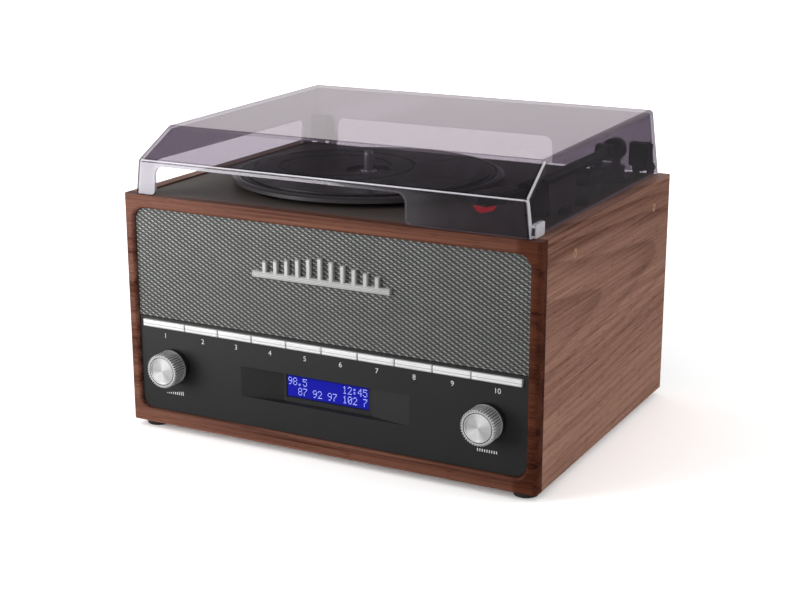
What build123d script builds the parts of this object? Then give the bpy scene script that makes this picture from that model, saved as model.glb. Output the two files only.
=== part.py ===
from build123d import *
import os
from math import cos, radians, sin

# Cabinet: a box of wrapped boards on four rubber feet
cabinet_width = 320.0
cabinet_depth = 246.0
cabinet_height = 168.0
board = 9.0
stile_width = 8.0
rail_height = 9.5
opening_radius = 9.0
opening_round = 2.5
corner_round = 4.0
back_thickness = 6.0
back_recess = 3.0
batten_width = 22.0
batten_depth = 15.0
batten_screw_shift = 4.0
back_screw_rise = 14.0
back_screw_drop = 34.0
foot_height = 5.5
foot_radius = 9.0
foot_taper = 8.0
foot_inset_x = 13.0
foot_inset_y = 14.0

# Clearances
panel_gap = 0.4
face_gap = 0.3
slide_gap = 0.2
running_gap = 0.05
press_gap = 0.02

# Screws
screw_radius = 1.5
screw_length = 10.0
screw_hole_spare = 1.0
screw_head_radius = 3.0
screw_head_height = 1.8
screw_slot_share = 0.3
side_screw_head_radius = 3.2
side_screw_length = 16.0
side_screw_front = 56.0
side_screw_back = 34.0
side_screw_drop = 19.0

# Grille, ornament and speakers
cloth_recess = 3.0
cloth_thickness = 0.8
baffle_thickness = 8.0
ornament_width = 107.0
ornament_bar_height = 4.5
ornament_rise = 1.25
ornament_chamfer = 0.6
ornament_stand = 2.8
upright_count = 11
upright_width = 3.4
upright_pitch = 8.7
upright_tallest = 14.4
upright_step = 1.5
speaker_inset = 57.0
speaker_margin = 3.3
speaker_corner = 6.0
speaker_flange_thickness = 1.8
speaker_rim_margin = 3.0
speaker_lip = 2.0
speaker_bolt_inset = 7.5
speaker_rim_depth = 0.8
speaker_throat_radius = 18.0
speaker_depth = 20.0
speaker_wall = 1.5
voice_radius = 10.0
cone_depth = 11.0
cone_wall = 0.8
magnet_radius = 22.5
magnet_thickness = 12.0
magnet_chamfer = 1.5

# Push buttons under the grille
button_count = 10
button_row_inset = 3.7
end_button_width = 36.3
button_split = 1.0
button_height = 5.0
button_row_base = 71.8
button_stand = 2.0
button_travel = 1.2
button_depth = 9.0
button_flange = 1.2
button_lip = 1.1
button_round = 0.5
button_groove = 0.5
stem_size = 3.0
strip_height = 2.6

# Control panel with its scooped display recess
panel_recess = 3.0
panel_thickness = 3.0
panel_wall = 2.0
panel_top_wall = 0.8
flange_thickness = 2.0
scoop_width = 133.0
scoop_low = 31.0
scoop_high = 53.0
scoop_depth = 5.8
scoop_skin = 2.0
scoop_floor_margin = 2.0
display_width = 65.4
display_height = 16.4
display_base = 34.3
display_bezel_width = 74.0
display_bezel_height = 26.0
display_bezel_depth = 5.0
display_corner = 1.0
display_post_inset = 4.0
display_inset = 0.5
pillar_radius = 3.0
pillar_inset = 10.0
pillar_heights = (20.0, 60.0)
board_thickness = 1.6
front_board_margin = 1.0
front_board_depth = 20.0
switch_size = 6.0
switch_height = 5.8
switch_corner = 0.6

# Control knobs
knob_inset = 28.5
knob_base = 44.5
knob_radius = 12.5
knob_reach = 12.5
knob_round = 1.2
knob_face_radius = 9.8
knob_face_thickness = 1.5
knob_face_dish = 0.5
knob_face_rim = 1.0
knob_bore_floor = 2.5
knob_wall = 3.0
knob_sleeve = 2.5
knob_hollow = 6.0
shaft_radius = 3.0
shaft_chamfer = 0.4
bush_radius = 4.0
control_size = 16.0
control_corner = 1.0
control_depth = 8.0
rotor_radius = 5.6
rotor_thickness = 3.2
tuning_travel = 0.8

# Deck plate, platter and drive
deck_recess = 1.0
deck_thickness = 3.0
boss_width = 14.0
boss_depth = 16.0
boss_reach = 24.0
platter_inset = 130.0
platter_offset = 1.0
platter_radius = 99.5
platter_lift = 4.0
platter_rim_height = 3.4
platter_web = 2.2
platter_chamfer = 2.2
rim_width = 4.8
mat_gap = 1.0
mat_thickness = 2.2
mat_hole_radius = 17.0
mat_groove_radii = (41.0, 59.0)
mat_groove_width = 1.8
mat_groove_depth = 1.0
mat_step_radius = 89.0
mat_spoke_count = 6
well_radius = 92.0
well_depth = 3.0
drum_radius = 62.0
drum_wall = 3.0
drum_gap = 0.9
hub_radius = 12.0
spindle_radius = 3.6
spindle_height = 15.2
spindle_collar_radius = 6.5
spindle_collar_height = 1.2
journal_radius = 3.0
journal_length = 22.0
journal_spare = 2.0
bearing_radius = 6.0
bearing_flange = 1.0
bearing_flange_width = 2.0
bearing_hub_wall = 3.0
pulley_distance = 76.0
pulley_angle = 135.0
pulley_radius = 6.2
pulley_flange_radius = 7.6
pulley_flange = 0.8
pulley_cap = 1.2
pulley_hole_gap = 1.0
belt_thickness = 0.8
belt_width = 3.0
belt_rise = 0.6
motor_radius = 16.0
motor_height = 24.0
motor_round = 1.5
motor_shaft_radius = 1.0

# Tonearm
arm_inset = 37.0
arm_from_back = 35.0
arm_height = 20.0
arm_radius = 4.0
tube_front_depth = 61.0
arm_tail = 20.5
base_radius = 17.0
base_height = 7.0
base_skirt_height = 2.8
base_round = 1.0
gimbal_radius = 13.0
gimbal_disc = 2.6
gimbal_pin_radius = 3.0
gimbal_pin_length = 5.5
gimbal_pin_spare = 1.0
cheek_thickness = 2.5
cheek_width = 12.0
arm_block = 11.0
arm_block_round = 1.2
trunnion_radius = 1.5
weight_radius = 8.5
weight_length = 10.5
weight_offset = 8.0
weight_chamfer = 1.0
shell_angle = 22.0
shell_length = 50.5
shell_neck = 12.0
shell_taper = 12.0
shell_corner = 1.5
shell_top_round = 1.2
shell_width = 17.0
shell_nose_width = 13.0
shell_height = 5.0
collar_radius = 5.2
collar_length = 12.0
collar_overlap = 5.0
cartridge_width = 11.0
cartridge_length = 19.0
cartridge_drop = 3.0
cartridge_corner = 1.0
stylus_setback = 8.5
stylus_lead = 3.0
stylus_width = 9.0
stylus_length = 15.0
stylus_height = 4.0
stylus_corner = 1.5
stylus_tip_corner = 1.0
stylus_narrowing = 3.0
stylus_shortening = 5.0
finger_length = 13.0
finger_width = 4.0
finger_thickness = 1.6
finger_rise = 1.0
finger_overlap = 1.0
finger_setback = 18.5
rest_setback = 13.0
rest_width = 15.0
rest_thickness = 6.0
rest_shift = 2.0
rest_foot_spare = 5.0
rest_foot_height = 2.0
rest_post_rise = 5.0
rest_side_gap = 1.0
rest_side_lean = 1.5
rest_round = 1.0
cue_ahead = 46.0
cue_height = 10.0
cue_radius = 2.0
cue_cam_eccentricity = 0.75
cue_cam_width = 8.0
cue_block_width = 5.0
cue_block_depth = 10.0
cue_block_gap = 2.0
cue_block_rise = 2.0
cue_lever_length = 30.0
cue_lever_thickness = 3.0
cue_lever_root = 1.0
cue_lever_tip = 4.0
cue_lever_round = 1.2
switch_inset = 20.5
speed_depth = 118.0
speed_travel = 12.0
auto_stop_depth = 88.0
auto_stop_travel = 6.0
slider_width = 7.0
slider_length = 9.0
slider_height = 4.5
slider_stem = 2.6
slider_foot = 1.5
slider_corner = 1.5
slider_round = 0.8

# Dust cover and its two hinges
cover_inset = 8.5
cover_front = 3.0
cover_wall = 2.5
cover_bevel_height = 24.4
cover_ridge_depth = 37.5
cover_ridge_height = 43.7
cover_back_height = 47.2
cover_lean = 5.5
cover_round = 3.6
cut_leg_width = 17.5
cut_from_spindle = 93.0
cut_height = 20.7
cut_radius = 7.0
cut_foot_round = 4.0
side_cut_front = 20.0
side_cut_rear = 18.0
rear_cut_half_width = 96.0
tab_length = 16.0
tab_height = 9.0
tab_reach = 2.4
tab_root = 1.0
tab_inset = 1.5
tab_round = 2.0
hinge_inset = 13.5
hinge_width = 14.0
hinge_axis_back = 6.0
hinge_axis_rise = 2.5
hinge_ear_radius = 3.2
hinge_pin_radius = 1.5
barrel_radius = 3.0
barrel_width = 8.0
ear_thickness = 2.6
jaw_thickness = 8.4
jaw_height = 17.0
jaw_overlap = 1.0
outer_jaw_thickness = 2.5
outer_jaw_height = 15.0
notch_width = 15.4
notch_height = 6.7
bridge_height = 4.8
bridge_lift = 1.7
bridge_overlap = 1.0
bracket_width = 22.0
bracket_height = 20.0
bracket_thickness = 2.5
bracket_screw_inset = 4.5

# Electronics inside and sockets behind
main_board_width = 120.0
main_board_depth = 84.0
main_board_x = -40.0
main_board_y = 150.0
standoff_height = 8.0
standoff_radius = 3.0
standoff_inset = 5.0
capacitor_radius = 8.0
capacitor_height = 22.0
capacitor_x = 34.0
capacitor_ys = (-18.0, 8.0)
heat_sink_width = 50.0
heat_sink_height = 26.0
heat_sink_depth = 14.0
heat_sink_fins = 5
heat_sink_slot = 1.6
heat_sink_slot_share = 0.7
heat_sink_x = -26.0
heat_sink_y = -26.0
coil_block_width = 34.0
coil_block_depth = 26.0
coil_block_x = -22.0
coil_block_y = 14.0
jack_panel_width = 100.0
jack_panel_height = 34.0
jack_panel_base = 26.0
jack_panel_x = -60.0
jack_panel_thickness = 2.0
jack_panel_corner = 2.0
jack_cut_margin_x = 5.0
jack_cut_margin_z = 4.0
phono_offset = 34.0
aux_offset = 10.0
aerial_offset = -12.0
power_offset = -36.0
phono_spacing = 14.0
phono_radius = 4.1
phono_bore = 1.7
phono_length = 8.0
power_inlet_radius = 5.2
power_inlet_bore = 3.2
power_pin_radius = 1.0
aerial_radius = 4.7
aerial_length = 10.0
aerial_setback = 2.0
socket_stand = 1.0
small_jack_bore = 1.8
small_jack_radius = 4.0
vent_count = 7
vent_width = 3.0
vent_height = 40.0
vent_pitch = 9.0
vent_x = 80.0

# Places that follow from the sizes above
hinge_reach = hinge_axis_back + hinge_ear_radius
front_y = -(cabinet_depth + hinge_reach - knob_reach) / 2
back_y = front_y + cabinet_depth
base_z = foot_height
top_z = base_z + cabinet_height
middle_z = (base_z + top_z) / 2
half_width = cabinet_width / 2
inner_half = half_width - board
side_screw_depths = (side_screw_front, cabinet_depth - side_screw_back)
opening_width = cabinet_width - 2 * stile_width
opening_height = cabinet_height - 2 * rail_height
fit_width = opening_width - 2 * panel_gap
fit_height = opening_height - 2 * panel_gap
fit_radius = opening_radius - panel_gap
speaker_x = opening_width / 2 - speaker_inset
knob_x = opening_width / 2 - knob_inset
pillar_x = opening_width / 2 - pillar_inset
button_row_width = opening_width - 2 * button_row_inset
button_pitch = (button_row_width - 2 * end_button_width) / (button_count - 2)
floor_z = base_z + board
back_face_y = back_y - back_recess
back_inner_y = back_face_y - back_thickness
deck_z = top_z - deck_recess
deck_under = deck_z - deck_thickness
button_low = base_z + button_row_base
button_high = button_low + button_height
button_mid = (button_low + button_high) / 2
panel_top = button_high + strip_height - panel_gap
cloth_low = button_high + strip_height
cloth_top = top_z - rail_height - panel_gap
cloth_back = cloth_recess + cloth_thickness
baffle_back = board + baffle_thickness
speaker_z = (cloth_low + cloth_top) / 2
speaker_flange = deck_under - cloth_low - 2 * speaker_margin
speaker_rim_radius = speaker_flange / 2 - speaker_rim_margin
speaker_hole_radius = speaker_rim_radius - speaker_lip
speaker_bolt = speaker_flange / 2 - speaker_bolt_inset
panel_back = panel_recess + panel_thickness
knob_z = base_z + knob_base
knob_stand = tuning_travel + slide_gap
platter_x = platter_inset - half_width
platter_y = (front_y + back_y) / 2 + platter_offset
platter_low = deck_z + platter_lift
platter_top = platter_low + platter_rim_height
mat_low = platter_low + platter_web
mat_top = mat_low + mat_thickness
mat_radius = platter_radius - rim_width - mat_gap
well_z = deck_z - well_depth
arm_x = half_width - arm_inset
arm_y = back_y - arm_from_back
arm_front_y = front_y + tube_front_depth
arm_z = deck_z + arm_height
switch_x = half_width - switch_inset
cover_low = top_z + face_gap
cover_half_width = half_width - cover_inset
cut_left = cut_leg_width - cover_half_width
cut_right = platter_x + cut_from_spindle
side_cut_back = cabinet_depth - side_cut_rear
hinge_x = cover_half_width - hinge_inset
hinge_y = back_y + hinge_axis_back
hinge_z = top_z + hinge_axis_rise


def facing_front(depth):
    """Plane at a depth behind the cabinet's front face, looking out of the front."""
    return Plane.XZ.offset(-(front_y + depth))


def facing_up(height):
    """Level plane at a height above the surface that the feet stand on."""
    return Plane.XY.offset(height)


def facing_right(x):
    """Upright plane across the width, with the depth along its own first axis."""
    return Plane.YZ.offset(x)


def facing_back(y):
    """Upright plane that looks out of the back."""
    return Plane(origin=(0, y, 0), x_dir=(-1, 0, 0), z_dir=(0, 1, 0))


def write(builder, name):
    """Name a finished piece and write it to its own file."""
    builder.part.label = name
    export_step(builder.part, f"parts/{name}.step")


def opening_slice(low, high):
    """What fills the cabinet's front opening between two heights."""
    with BuildSketch() as outline:
        with Locations((0, middle_z)):
            RectangleRounded(fit_width, fit_height, fit_radius)
        with Locations((0, (low + high) / 2)):
            Rectangle(cabinet_width, high - low, mode=Mode.INTERSECT)
    return outline.sketch


def pan_screw(head_radius, head_height, length):
    """A screw that points down, with the underside of its head at the origin."""
    with BuildPart() as screw:
        with BuildSketch(Plane.XY):
            Circle(head_radius)
        extrude(amount=head_height)
        fillet(screw.edges().sort_by(Axis.Z)[-1], head_height * 1.5 * screw_slot_share)
        with BuildSketch(Plane.XY):
            Circle(screw_radius)
        extrude(amount=-length)
        with BuildSketch(Plane.XY.offset(head_height)):
            Rectangle(head_radius, head_height * screw_slot_share)
            Rectangle(head_height * screw_slot_share, head_radius)
        extrude(amount=-head_height * screw_slot_share, mode=Mode.SUBTRACT)
    return screw.part


def countersunk_screw(head_radius, length):
    """A screw that points down, with the top of its countersunk head at the origin."""
    with BuildPart() as screw:
        with BuildSketch(Plane.XZ):
            with BuildLine():
                Polyline(
                    (0, 0),
                    (head_radius, 0),
                    (screw_radius, screw_radius - head_radius),
                    (screw_radius, -length),
                    (0, -length),
                    close=True,
                )
            make_face()
        revolve(axis=Axis.Z)
        with BuildSketch(Plane.XY):
            Rectangle(head_radius, head_radius * screw_slot_share / 2)
            Rectangle(head_radius * screw_slot_share / 2, head_radius)
        extrude(amount=-head_radius * screw_slot_share, mode=Mode.SUBTRACT)
    return screw.part


os.makedirs("parts", exist_ok=True)

# Cabinet

with BuildPart() as cabinet_front_frame:
    with BuildSketch(facing_front(board)):
        with Locations((0, middle_z)):
            Rectangle(cabinet_width, cabinet_height)
            RectangleRounded(opening_width, opening_height, opening_radius, mode=Mode.SUBTRACT)
    extrude(amount=board)
    uprights = cabinet_front_frame.edges().filter_by(Axis.Z).group_by(Axis.Y)[0].sort_by(Axis.X)
    fillet([uprights[0], uprights[-1]], corner_round)
    front_face = cabinet_front_frame.faces().filter_by(Axis.Y).sort_by(Axis.Y)[0]
    fillet(front_face.inner_wires()[0].edges(), opening_round)
write(cabinet_front_frame, "cabinet_front_frame")

side_screw_z = top_z - side_screw_drop
foot_spots = [
    (side * (half_width - foot_inset_x), y)
    for side in (-1, 1)
    for y in (front_y + foot_inset_y, back_y - foot_inset_y)
]

for side, name in ((-1, "cabinet_side_left"), (1, "cabinet_side_right")):
    with BuildPart() as cabinet_side:
        with BuildSketch(facing_up(base_z)):
            with Locations((side * (half_width - board / 2), (front_y + board + back_y) / 2)):
                Rectangle(board, cabinet_depth - board)
        extrude(amount=cabinet_height)
        for depth in side_screw_depths:
            with Locations(Plane((side * half_width, front_y + depth, side_screw_z), z_dir=(side, 0, 0))):
                CounterSinkHole(
                    screw_radius + running_gap, side_screw_head_radius + running_gap, board
                )
    write(cabinet_side, name)

with BuildPart() as cabinet_base:
    with BuildSketch(facing_up(base_z)):
        with Locations((0, (front_y + board + back_face_y) / 2)):
            Rectangle(2 * inner_half, cabinet_depth - board - back_recess)
        with Locations(*foot_spots):
            Circle(screw_radius + running_gap, mode=Mode.SUBTRACT)
    extrude(amount=board)
write(cabinet_base, "cabinet_base")

back_screw_x = inner_half - batten_width / 2 + batten_screw_shift
back_screw_heights = (floor_z + back_screw_rise, middle_z, deck_under - back_screw_drop)
back_screw_spots = [(side * back_screw_x, z) for side in (-1, 1) for z in back_screw_heights]
bracket_low = deck_z - bracket_height
bracket_screw_spots = [
    (side * hinge_x, z)
    for side in (-1, 1)
    for z in (bracket_low + bracket_screw_inset, deck_under - bracket_screw_inset)
]
jack_z = base_z + jack_panel_base + jack_panel_height / 2

with BuildPart() as cabinet_back:
    with BuildSketch(facing_back(back_inner_y)):
        with Locations((0, (floor_z + deck_under) / 2)):
            Rectangle(2 * inner_half, deck_under - floor_z)
        with Locations((-jack_panel_x, jack_z)):
            Rectangle(
                jack_panel_width - 2 * jack_cut_margin_x,
                jack_panel_height - 2 * jack_cut_margin_z,
                mode=Mode.SUBTRACT,
            )
        with Locations((-vent_x, jack_z)):
            with GridLocations(vent_pitch, 1, vent_count, 1):
                SlotOverall(vent_height, vent_width, rotation=90, mode=Mode.SUBTRACT)
        with Locations(*[(-x, z) for x, z in back_screw_spots + bracket_screw_spots]):
            Circle(screw_radius + running_gap, mode=Mode.SUBTRACT)
    extrude(amount=back_thickness)
write(cabinet_back, "cabinet_back")

with BuildPart() as back_battens:
    for side in (-1, 1):
        with BuildSketch(facing_up(floor_z)):
            with Locations((side * (inner_half - batten_width / 2), back_inner_y - batten_depth / 2)):
                Rectangle(batten_width, batten_depth)
        extrude(amount=deck_under - floor_z)
    with BuildSketch(facing_back(back_inner_y)):
        with Locations(*[(-x, z) for x, z in back_screw_spots + bracket_screw_spots]):
            Circle(screw_radius + running_gap)
    extrude(amount=-screw_length, mode=Mode.SUBTRACT)
write(back_battens, "back_battens")

with BuildPart() as rubber_feet:
    with BuildSketch(facing_up(foot_height)):
        with Locations(*foot_spots):
            Circle(foot_radius)
    extrude(amount=-foot_height, taper=foot_taper)
    with BuildSketch(facing_up(0)):
        with Locations(*foot_spots):
            Circle(screw_head_radius + slide_gap)
    extrude(amount=foot_height / 2, mode=Mode.SUBTRACT)
    with BuildSketch(facing_up(0)):
        with Locations(*foot_spots):
            Circle(screw_radius + running_gap)
    extrude(amount=foot_height, mode=Mode.SUBTRACT)
write(rubber_feet, "rubber_feet")

with BuildPart() as side_screws:
    side_screw = countersunk_screw(side_screw_head_radius, side_screw_length)
    for side in (-1, 1):
        for depth in side_screw_depths:
            place = Plane((side * half_width, front_y + depth, side_screw_z), z_dir=(side, 0, 0))
            add(side_screw.moved(place.location))
write(side_screws, "side_screws")

# Front: grille, ornament, speakers

speaker_spots = [(side * speaker_x, speaker_z) for side in (-1, 1)]
speaker_bolts = [
    (x + dx * speaker_bolt, z + dz * speaker_bolt)
    for x, z in speaker_spots
    for dx in (-1, 1)
    for dz in (-1, 1)
]

with BuildPart() as speaker_baffle:
    with BuildSketch(facing_front(board)):
        add(opening_slice(cloth_low, cloth_top))
    extrude(amount=board - cloth_back)
    with BuildSketch(facing_front(board)):
        with Locations((0, (cloth_low + deck_under) / 2)):
            Rectangle(2 * (inner_half - panel_gap), deck_under - cloth_low)
    extrude(amount=-baffle_thickness)
    with BuildSketch(facing_front(baffle_back)):
        with Locations(*speaker_spots):
            Circle(speaker_hole_radius)
    extrude(amount=baffle_back, mode=Mode.SUBTRACT)
    with BuildSketch(facing_front(baffle_back)):
        with Locations(*speaker_bolts):
            Circle(screw_radius + running_gap)
    extrude(amount=screw_length - speaker_flange_thickness, mode=Mode.SUBTRACT)
write(speaker_baffle, "speaker_baffle")

with BuildPart() as grille_cloth:
    with BuildSketch(facing_front(cloth_back)):
        add(opening_slice(cloth_low, cloth_top))
    extrude(amount=cloth_thickness)
write(grille_cloth, "grille_cloth")

ornament_low = speaker_z + ornament_rise
ornament_high = ornament_low + ornament_bar_height
upright_heights = [
    upright_tallest - upright_step * abs(i - (upright_count - 1) / 2) for i in range(upright_count)
]

with BuildPart() as grille_ornament:
    with BuildSketch(facing_front(cloth_recess)):
        with Locations((0, (ornament_low + ornament_high) / 2)):
            Rectangle(ornament_width, ornament_bar_height)
        for i, height in enumerate(upright_heights):
            x = (i - (upright_count - 1) / 2) * upright_pitch
            with Locations((x, ornament_high + height / 2)):
                Rectangle(upright_width, height)
    extrude(amount=ornament_stand)
    chamfer(grille_ornament.faces().sort_by(Axis.Y)[0].edges(), ornament_chamfer)
write(grille_ornament, "grille_ornament")

flange_front = baffle_back
flange_back = flange_front + speaker_flange_thickness
basket_back = flange_back + speaker_depth

with BuildPart() as speaker_baskets:
    with BuildSketch(facing_front(flange_back)):
        with Locations(*speaker_spots):
            RectangleRounded(speaker_flange, speaker_flange, speaker_corner)
            Circle(speaker_hole_radius - speaker_wall, mode=Mode.SUBTRACT)
        with Locations(*speaker_bolts):
            Circle(screw_radius + running_gap, mode=Mode.SUBTRACT)
    extrude(amount=speaker_flange_thickness)
    with BuildSketch(facing_front(flange_front)):
        with Locations(*speaker_spots):
            Circle(speaker_rim_radius)
    extrude(amount=-speaker_rim_depth, mode=Mode.SUBTRACT)
    for x, z in speaker_spots:
        with BuildSketch(Plane((x, front_y, z), x_dir=(1, 0, 0), z_dir=(0, 0, 1))):
            with BuildLine():
                Polyline(
                    (speaker_hole_radius, flange_back),
                    (speaker_throat_radius, basket_back - speaker_wall),
                    (voice_radius, basket_back - speaker_wall),
                    (voice_radius, basket_back),
                    (speaker_throat_radius + speaker_wall, basket_back),
                    (speaker_hole_radius + speaker_wall, flange_back),
                    close=True,
                )
            make_face()
        revolve(axis=Axis((x, front_y, z), (0, 1, 0)))
write(speaker_baskets, "speaker_baskets")

with BuildPart() as speaker_magnets:
    with BuildSketch(facing_front(basket_back)):
        with Locations(*speaker_spots):
            Circle(magnet_radius)
    extrude(amount=-magnet_thickness)
    chamfer(speaker_magnets.edges().group_by(Axis.Y)[-1], magnet_chamfer)
write(speaker_magnets, "speaker_magnets")

cone_front = flange_front + panel_gap / 2
cone_seat = flange_front + speaker_rim_depth

with BuildPart() as speaker_cones:
    for x, z in speaker_spots:
        with BuildSketch(Plane((x, front_y, z), x_dir=(1, 0, 0), z_dir=(0, 0, 1))):
            with BuildLine():
                Polyline(
                    (0, cone_front + cone_depth),
                    (voice_radius, cone_front + cone_depth),
                    (speaker_hole_radius - 2 * speaker_wall, cone_front),
                    (speaker_rim_radius - slide_gap, cone_front),
                    (speaker_rim_radius - slide_gap, cone_seat),
                    (speaker_hole_radius - 2 * speaker_wall, cone_seat),
                    (voice_radius, cone_front + cone_depth + cone_wall),
                    (0, cone_front + cone_depth + cone_wall),
                    close=True,
                )
            make_face()
        revolve(axis=Axis((x, front_y, z), (0, 1, 0)))
write(speaker_cones, "speaker_cones")

# Front: control panel, display, buttons and knobs

scoop_low_z = base_z + scoop_low
scoop_high_z = base_z + scoop_high
display_low = base_z + display_base
display_mid = display_low + display_height / 2
scoop_floor_half = display_width / 2 + scoop_floor_margin
pillar_spots = [(side * pillar_x, base_z + h) for side in (-1, 1) for h in pillar_heights]
slot_width = button_row_width + 2 * slide_gap
slot_height = button_height + 2 * slide_gap


def scoop_outline(skin):
    """Plan of the display recess, grown by a skin behind it."""
    with BuildSketch() as outline:
        with BuildLine():
            Polyline(
                (-scoop_width / 2 - skin, front_y + panel_recess),
                (-scoop_floor_half, front_y + panel_recess + scoop_depth + skin),
                (scoop_floor_half, front_y + panel_recess + scoop_depth + skin),
                (scoop_width / 2 + skin, front_y + panel_recess),
                close=True,
            )
        make_face()
    return outline.sketch


with BuildPart() as control_panel:
    with BuildSketch(facing_front(board)):
        add(opening_slice(base_z, panel_top))
    extrude(amount=board - panel_recess)
    with BuildSketch(facing_front(board + flange_thickness)):
        with Locations((0, (floor_z + panel_gap + panel_top) / 2)):
            Rectangle(2 * (inner_half - panel_gap), panel_top - floor_z - panel_gap)
    extrude(amount=flange_thickness)
    with BuildSketch(facing_front(board + flange_thickness)):
        with Locations((0, middle_z)):
            RectangleRounded(
                fit_width - 2 * panel_wall, fit_height - 2 * panel_wall, fit_radius - panel_wall
            )
        with Locations((0, (base_z + panel_top - panel_top_wall) / 2)):
            Rectangle(cabinet_width, panel_top - panel_top_wall - base_z, mode=Mode.INTERSECT)
    extrude(amount=board + flange_thickness - panel_back, mode=Mode.SUBTRACT)
    with BuildSketch(facing_up(scoop_low_z - scoop_skin)):
        add(scoop_outline(scoop_skin))
    extrude(amount=scoop_high_z - scoop_low_z + 2 * scoop_skin)
    with BuildSketch(facing_up(scoop_low_z)):
        add(scoop_outline(0))
    extrude(amount=scoop_high_z - scoop_low_z, mode=Mode.SUBTRACT)
    with BuildSketch(facing_front(front_board_depth)):
        with Locations(*pillar_spots):
            Circle(pillar_radius)
    extrude(amount=front_board_depth - panel_back)
    with BuildSketch(facing_front(front_board_depth)):
        with Locations(*pillar_spots):
            Circle(screw_radius + running_gap)
    extrude(amount=screw_length - board_thickness, mode=Mode.SUBTRACT)
    with BuildSketch(facing_front(front_board_depth)):
        with Locations((0, display_mid)):
            Rectangle(display_width, display_height)
        with Locations((0, button_mid)):
            Rectangle(slot_width, slot_height)
        with Locations((-knob_x, knob_z), (knob_x, knob_z)):
            Circle(bush_radius + slide_gap)
    extrude(amount=front_board_depth, mode=Mode.SUBTRACT)
write(control_panel, "control_panel")

bezel_front = panel_recess + scoop_depth + scoop_skin + slide_gap
bezel_back = bezel_front + display_bezel_depth
display_front = panel_recess + scoop_depth + display_inset

with BuildPart() as display_module:
    with BuildSketch(facing_front(bezel_back)):
        with Locations((0, display_mid)):
            RectangleRounded(display_bezel_width, display_bezel_height, display_corner)
    extrude(amount=display_bezel_depth)
    with BuildSketch(facing_front(bezel_front)):
        with Locations((0, display_mid)):
            Rectangle(display_width - 2 * slide_gap, display_height - 2 * slide_gap)
    extrude(amount=bezel_front - display_front)
    with BuildSketch(facing_front(front_board_depth)):
        with Locations((0, display_mid)):
            post_width = display_bezel_width - 2 * display_post_inset
            post_height = display_bezel_height - 2 * display_post_inset
            with GridLocations(post_width, post_height, 2, 2):
                Circle(pillar_radius)
    extrude(amount=front_board_depth - bezel_back)
write(display_module, "display_module")

button_bounds = [-button_row_width / 2]
for i in range(button_count - 1):
    button_bounds.append((i - (button_count - 2) / 2) * button_pitch)
button_bounds.append(button_row_width / 2)
button_front = panel_recess - button_stand
button_shelf = panel_back + face_gap
stem_end = front_board_depth - switch_height - button_travel - slide_gap
stem_xs = []

for i in range(button_count):
    left = button_bounds[i] + button_split / 2
    right = button_bounds[i + 1] - button_split / 2
    button_x = (left + right) / 2
    stem_xs.append(button_x)
    with BuildPart() as button:
        with BuildSketch(facing_front(button_shelf)):
            with Locations((button_x, button_mid)):
                Rectangle(right - left, button_height)
        extrude(amount=button_shelf - button_front)
        front_edges = button.faces().sort_by(Axis.Y)[0].edges()
        fillet(front_edges, button_round)
        with BuildSketch(facing_front(button_front)):
            for rise in (-button_height / 5, button_height / 5):
                with Locations((button_x, button_mid + rise)):
                    Rectangle(right - left, button_groove)
        extrude(amount=-button_groove / 2, mode=Mode.SUBTRACT)
        with BuildSketch(facing_front(button_shelf + button_flange)):
            with Locations((button_x, button_mid)):
                Rectangle(right - left, button_height + 2 * button_lip)
        extrude(amount=button_flange)
        with BuildSketch(facing_front(stem_end)):
            with Locations((button_x, button_mid)):
                Rectangle(stem_size, stem_size)
        extrude(amount=stem_end - button_shelf - button_flange)
    write(button, f"button_{i + 1}")

front_board_low = floor_z + face_gap
front_board_high = cloth_low - face_gap

with BuildPart() as front_circuit_board:
    with BuildSketch(facing_front(front_board_depth)):
        with Locations((0, (front_board_low + front_board_high) / 2)):
            Rectangle(2 * (inner_half - front_board_margin), front_board_high - front_board_low)
        with Locations(*pillar_spots):
            Circle(screw_radius + running_gap, mode=Mode.SUBTRACT)
    extrude(amount=-board_thickness)
    with BuildSketch(facing_front(front_board_depth)):
        with Locations(*[(x, button_mid) for x in stem_xs]):
            RectangleRounded(switch_size, switch_height, switch_corner)
    extrude(amount=switch_height - face_gap)
write(front_circuit_board, "front_circuit_board")

control_front = front_board_depth - control_depth
rotor_front = front_board_depth - face_gap - rotor_thickness
knob_spots = {"volume": -knob_x, "tuning": knob_x}

with BuildPart() as rotary_controls:
    with BuildSketch(facing_front(front_board_depth)):
        with Locations((-knob_x, knob_z), (knob_x, knob_z)):
            RectangleRounded(control_size, control_size, control_corner)
    extrude(amount=control_depth)
    with BuildSketch(facing_front(control_front)):
        with Locations((-knob_x, knob_z), (knob_x, knob_z)):
            Circle(bush_radius)
    extrude(amount=control_front - panel_recess)
    with BuildSketch(facing_front(front_board_depth)):
        with Locations((-knob_x, knob_z), (knob_x, knob_z)):
            Circle(shaft_radius + running_gap)
    extrude(amount=front_board_depth, mode=Mode.SUBTRACT)
    with BuildSketch(facing_front(front_board_depth)):
        with Locations((knob_x, knob_z)):
            Circle(rotor_radius + running_gap)
    extrude(amount=front_board_depth - rotor_front + running_gap, mode=Mode.SUBTRACT)
write(rotary_controls, "rotary_controls")

with BuildPart() as encoder_rotor:
    with BuildSketch(facing_front(rotor_front)):
        with Locations((knob_x, knob_z)):
            Circle(rotor_radius)
            Circle(shaft_radius + running_gap, mode=Mode.SUBTRACT)
    extrude(amount=-rotor_thickness)
write(encoder_rotor, "encoder_rotor")

knob_back = panel_recess - knob_stand
knob_seat = knob_face_thickness - knob_reach
knob_bore_end = knob_seat + knob_bore_floor
shaft_end = front_board_depth - tuning_travel - slide_gap

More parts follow.
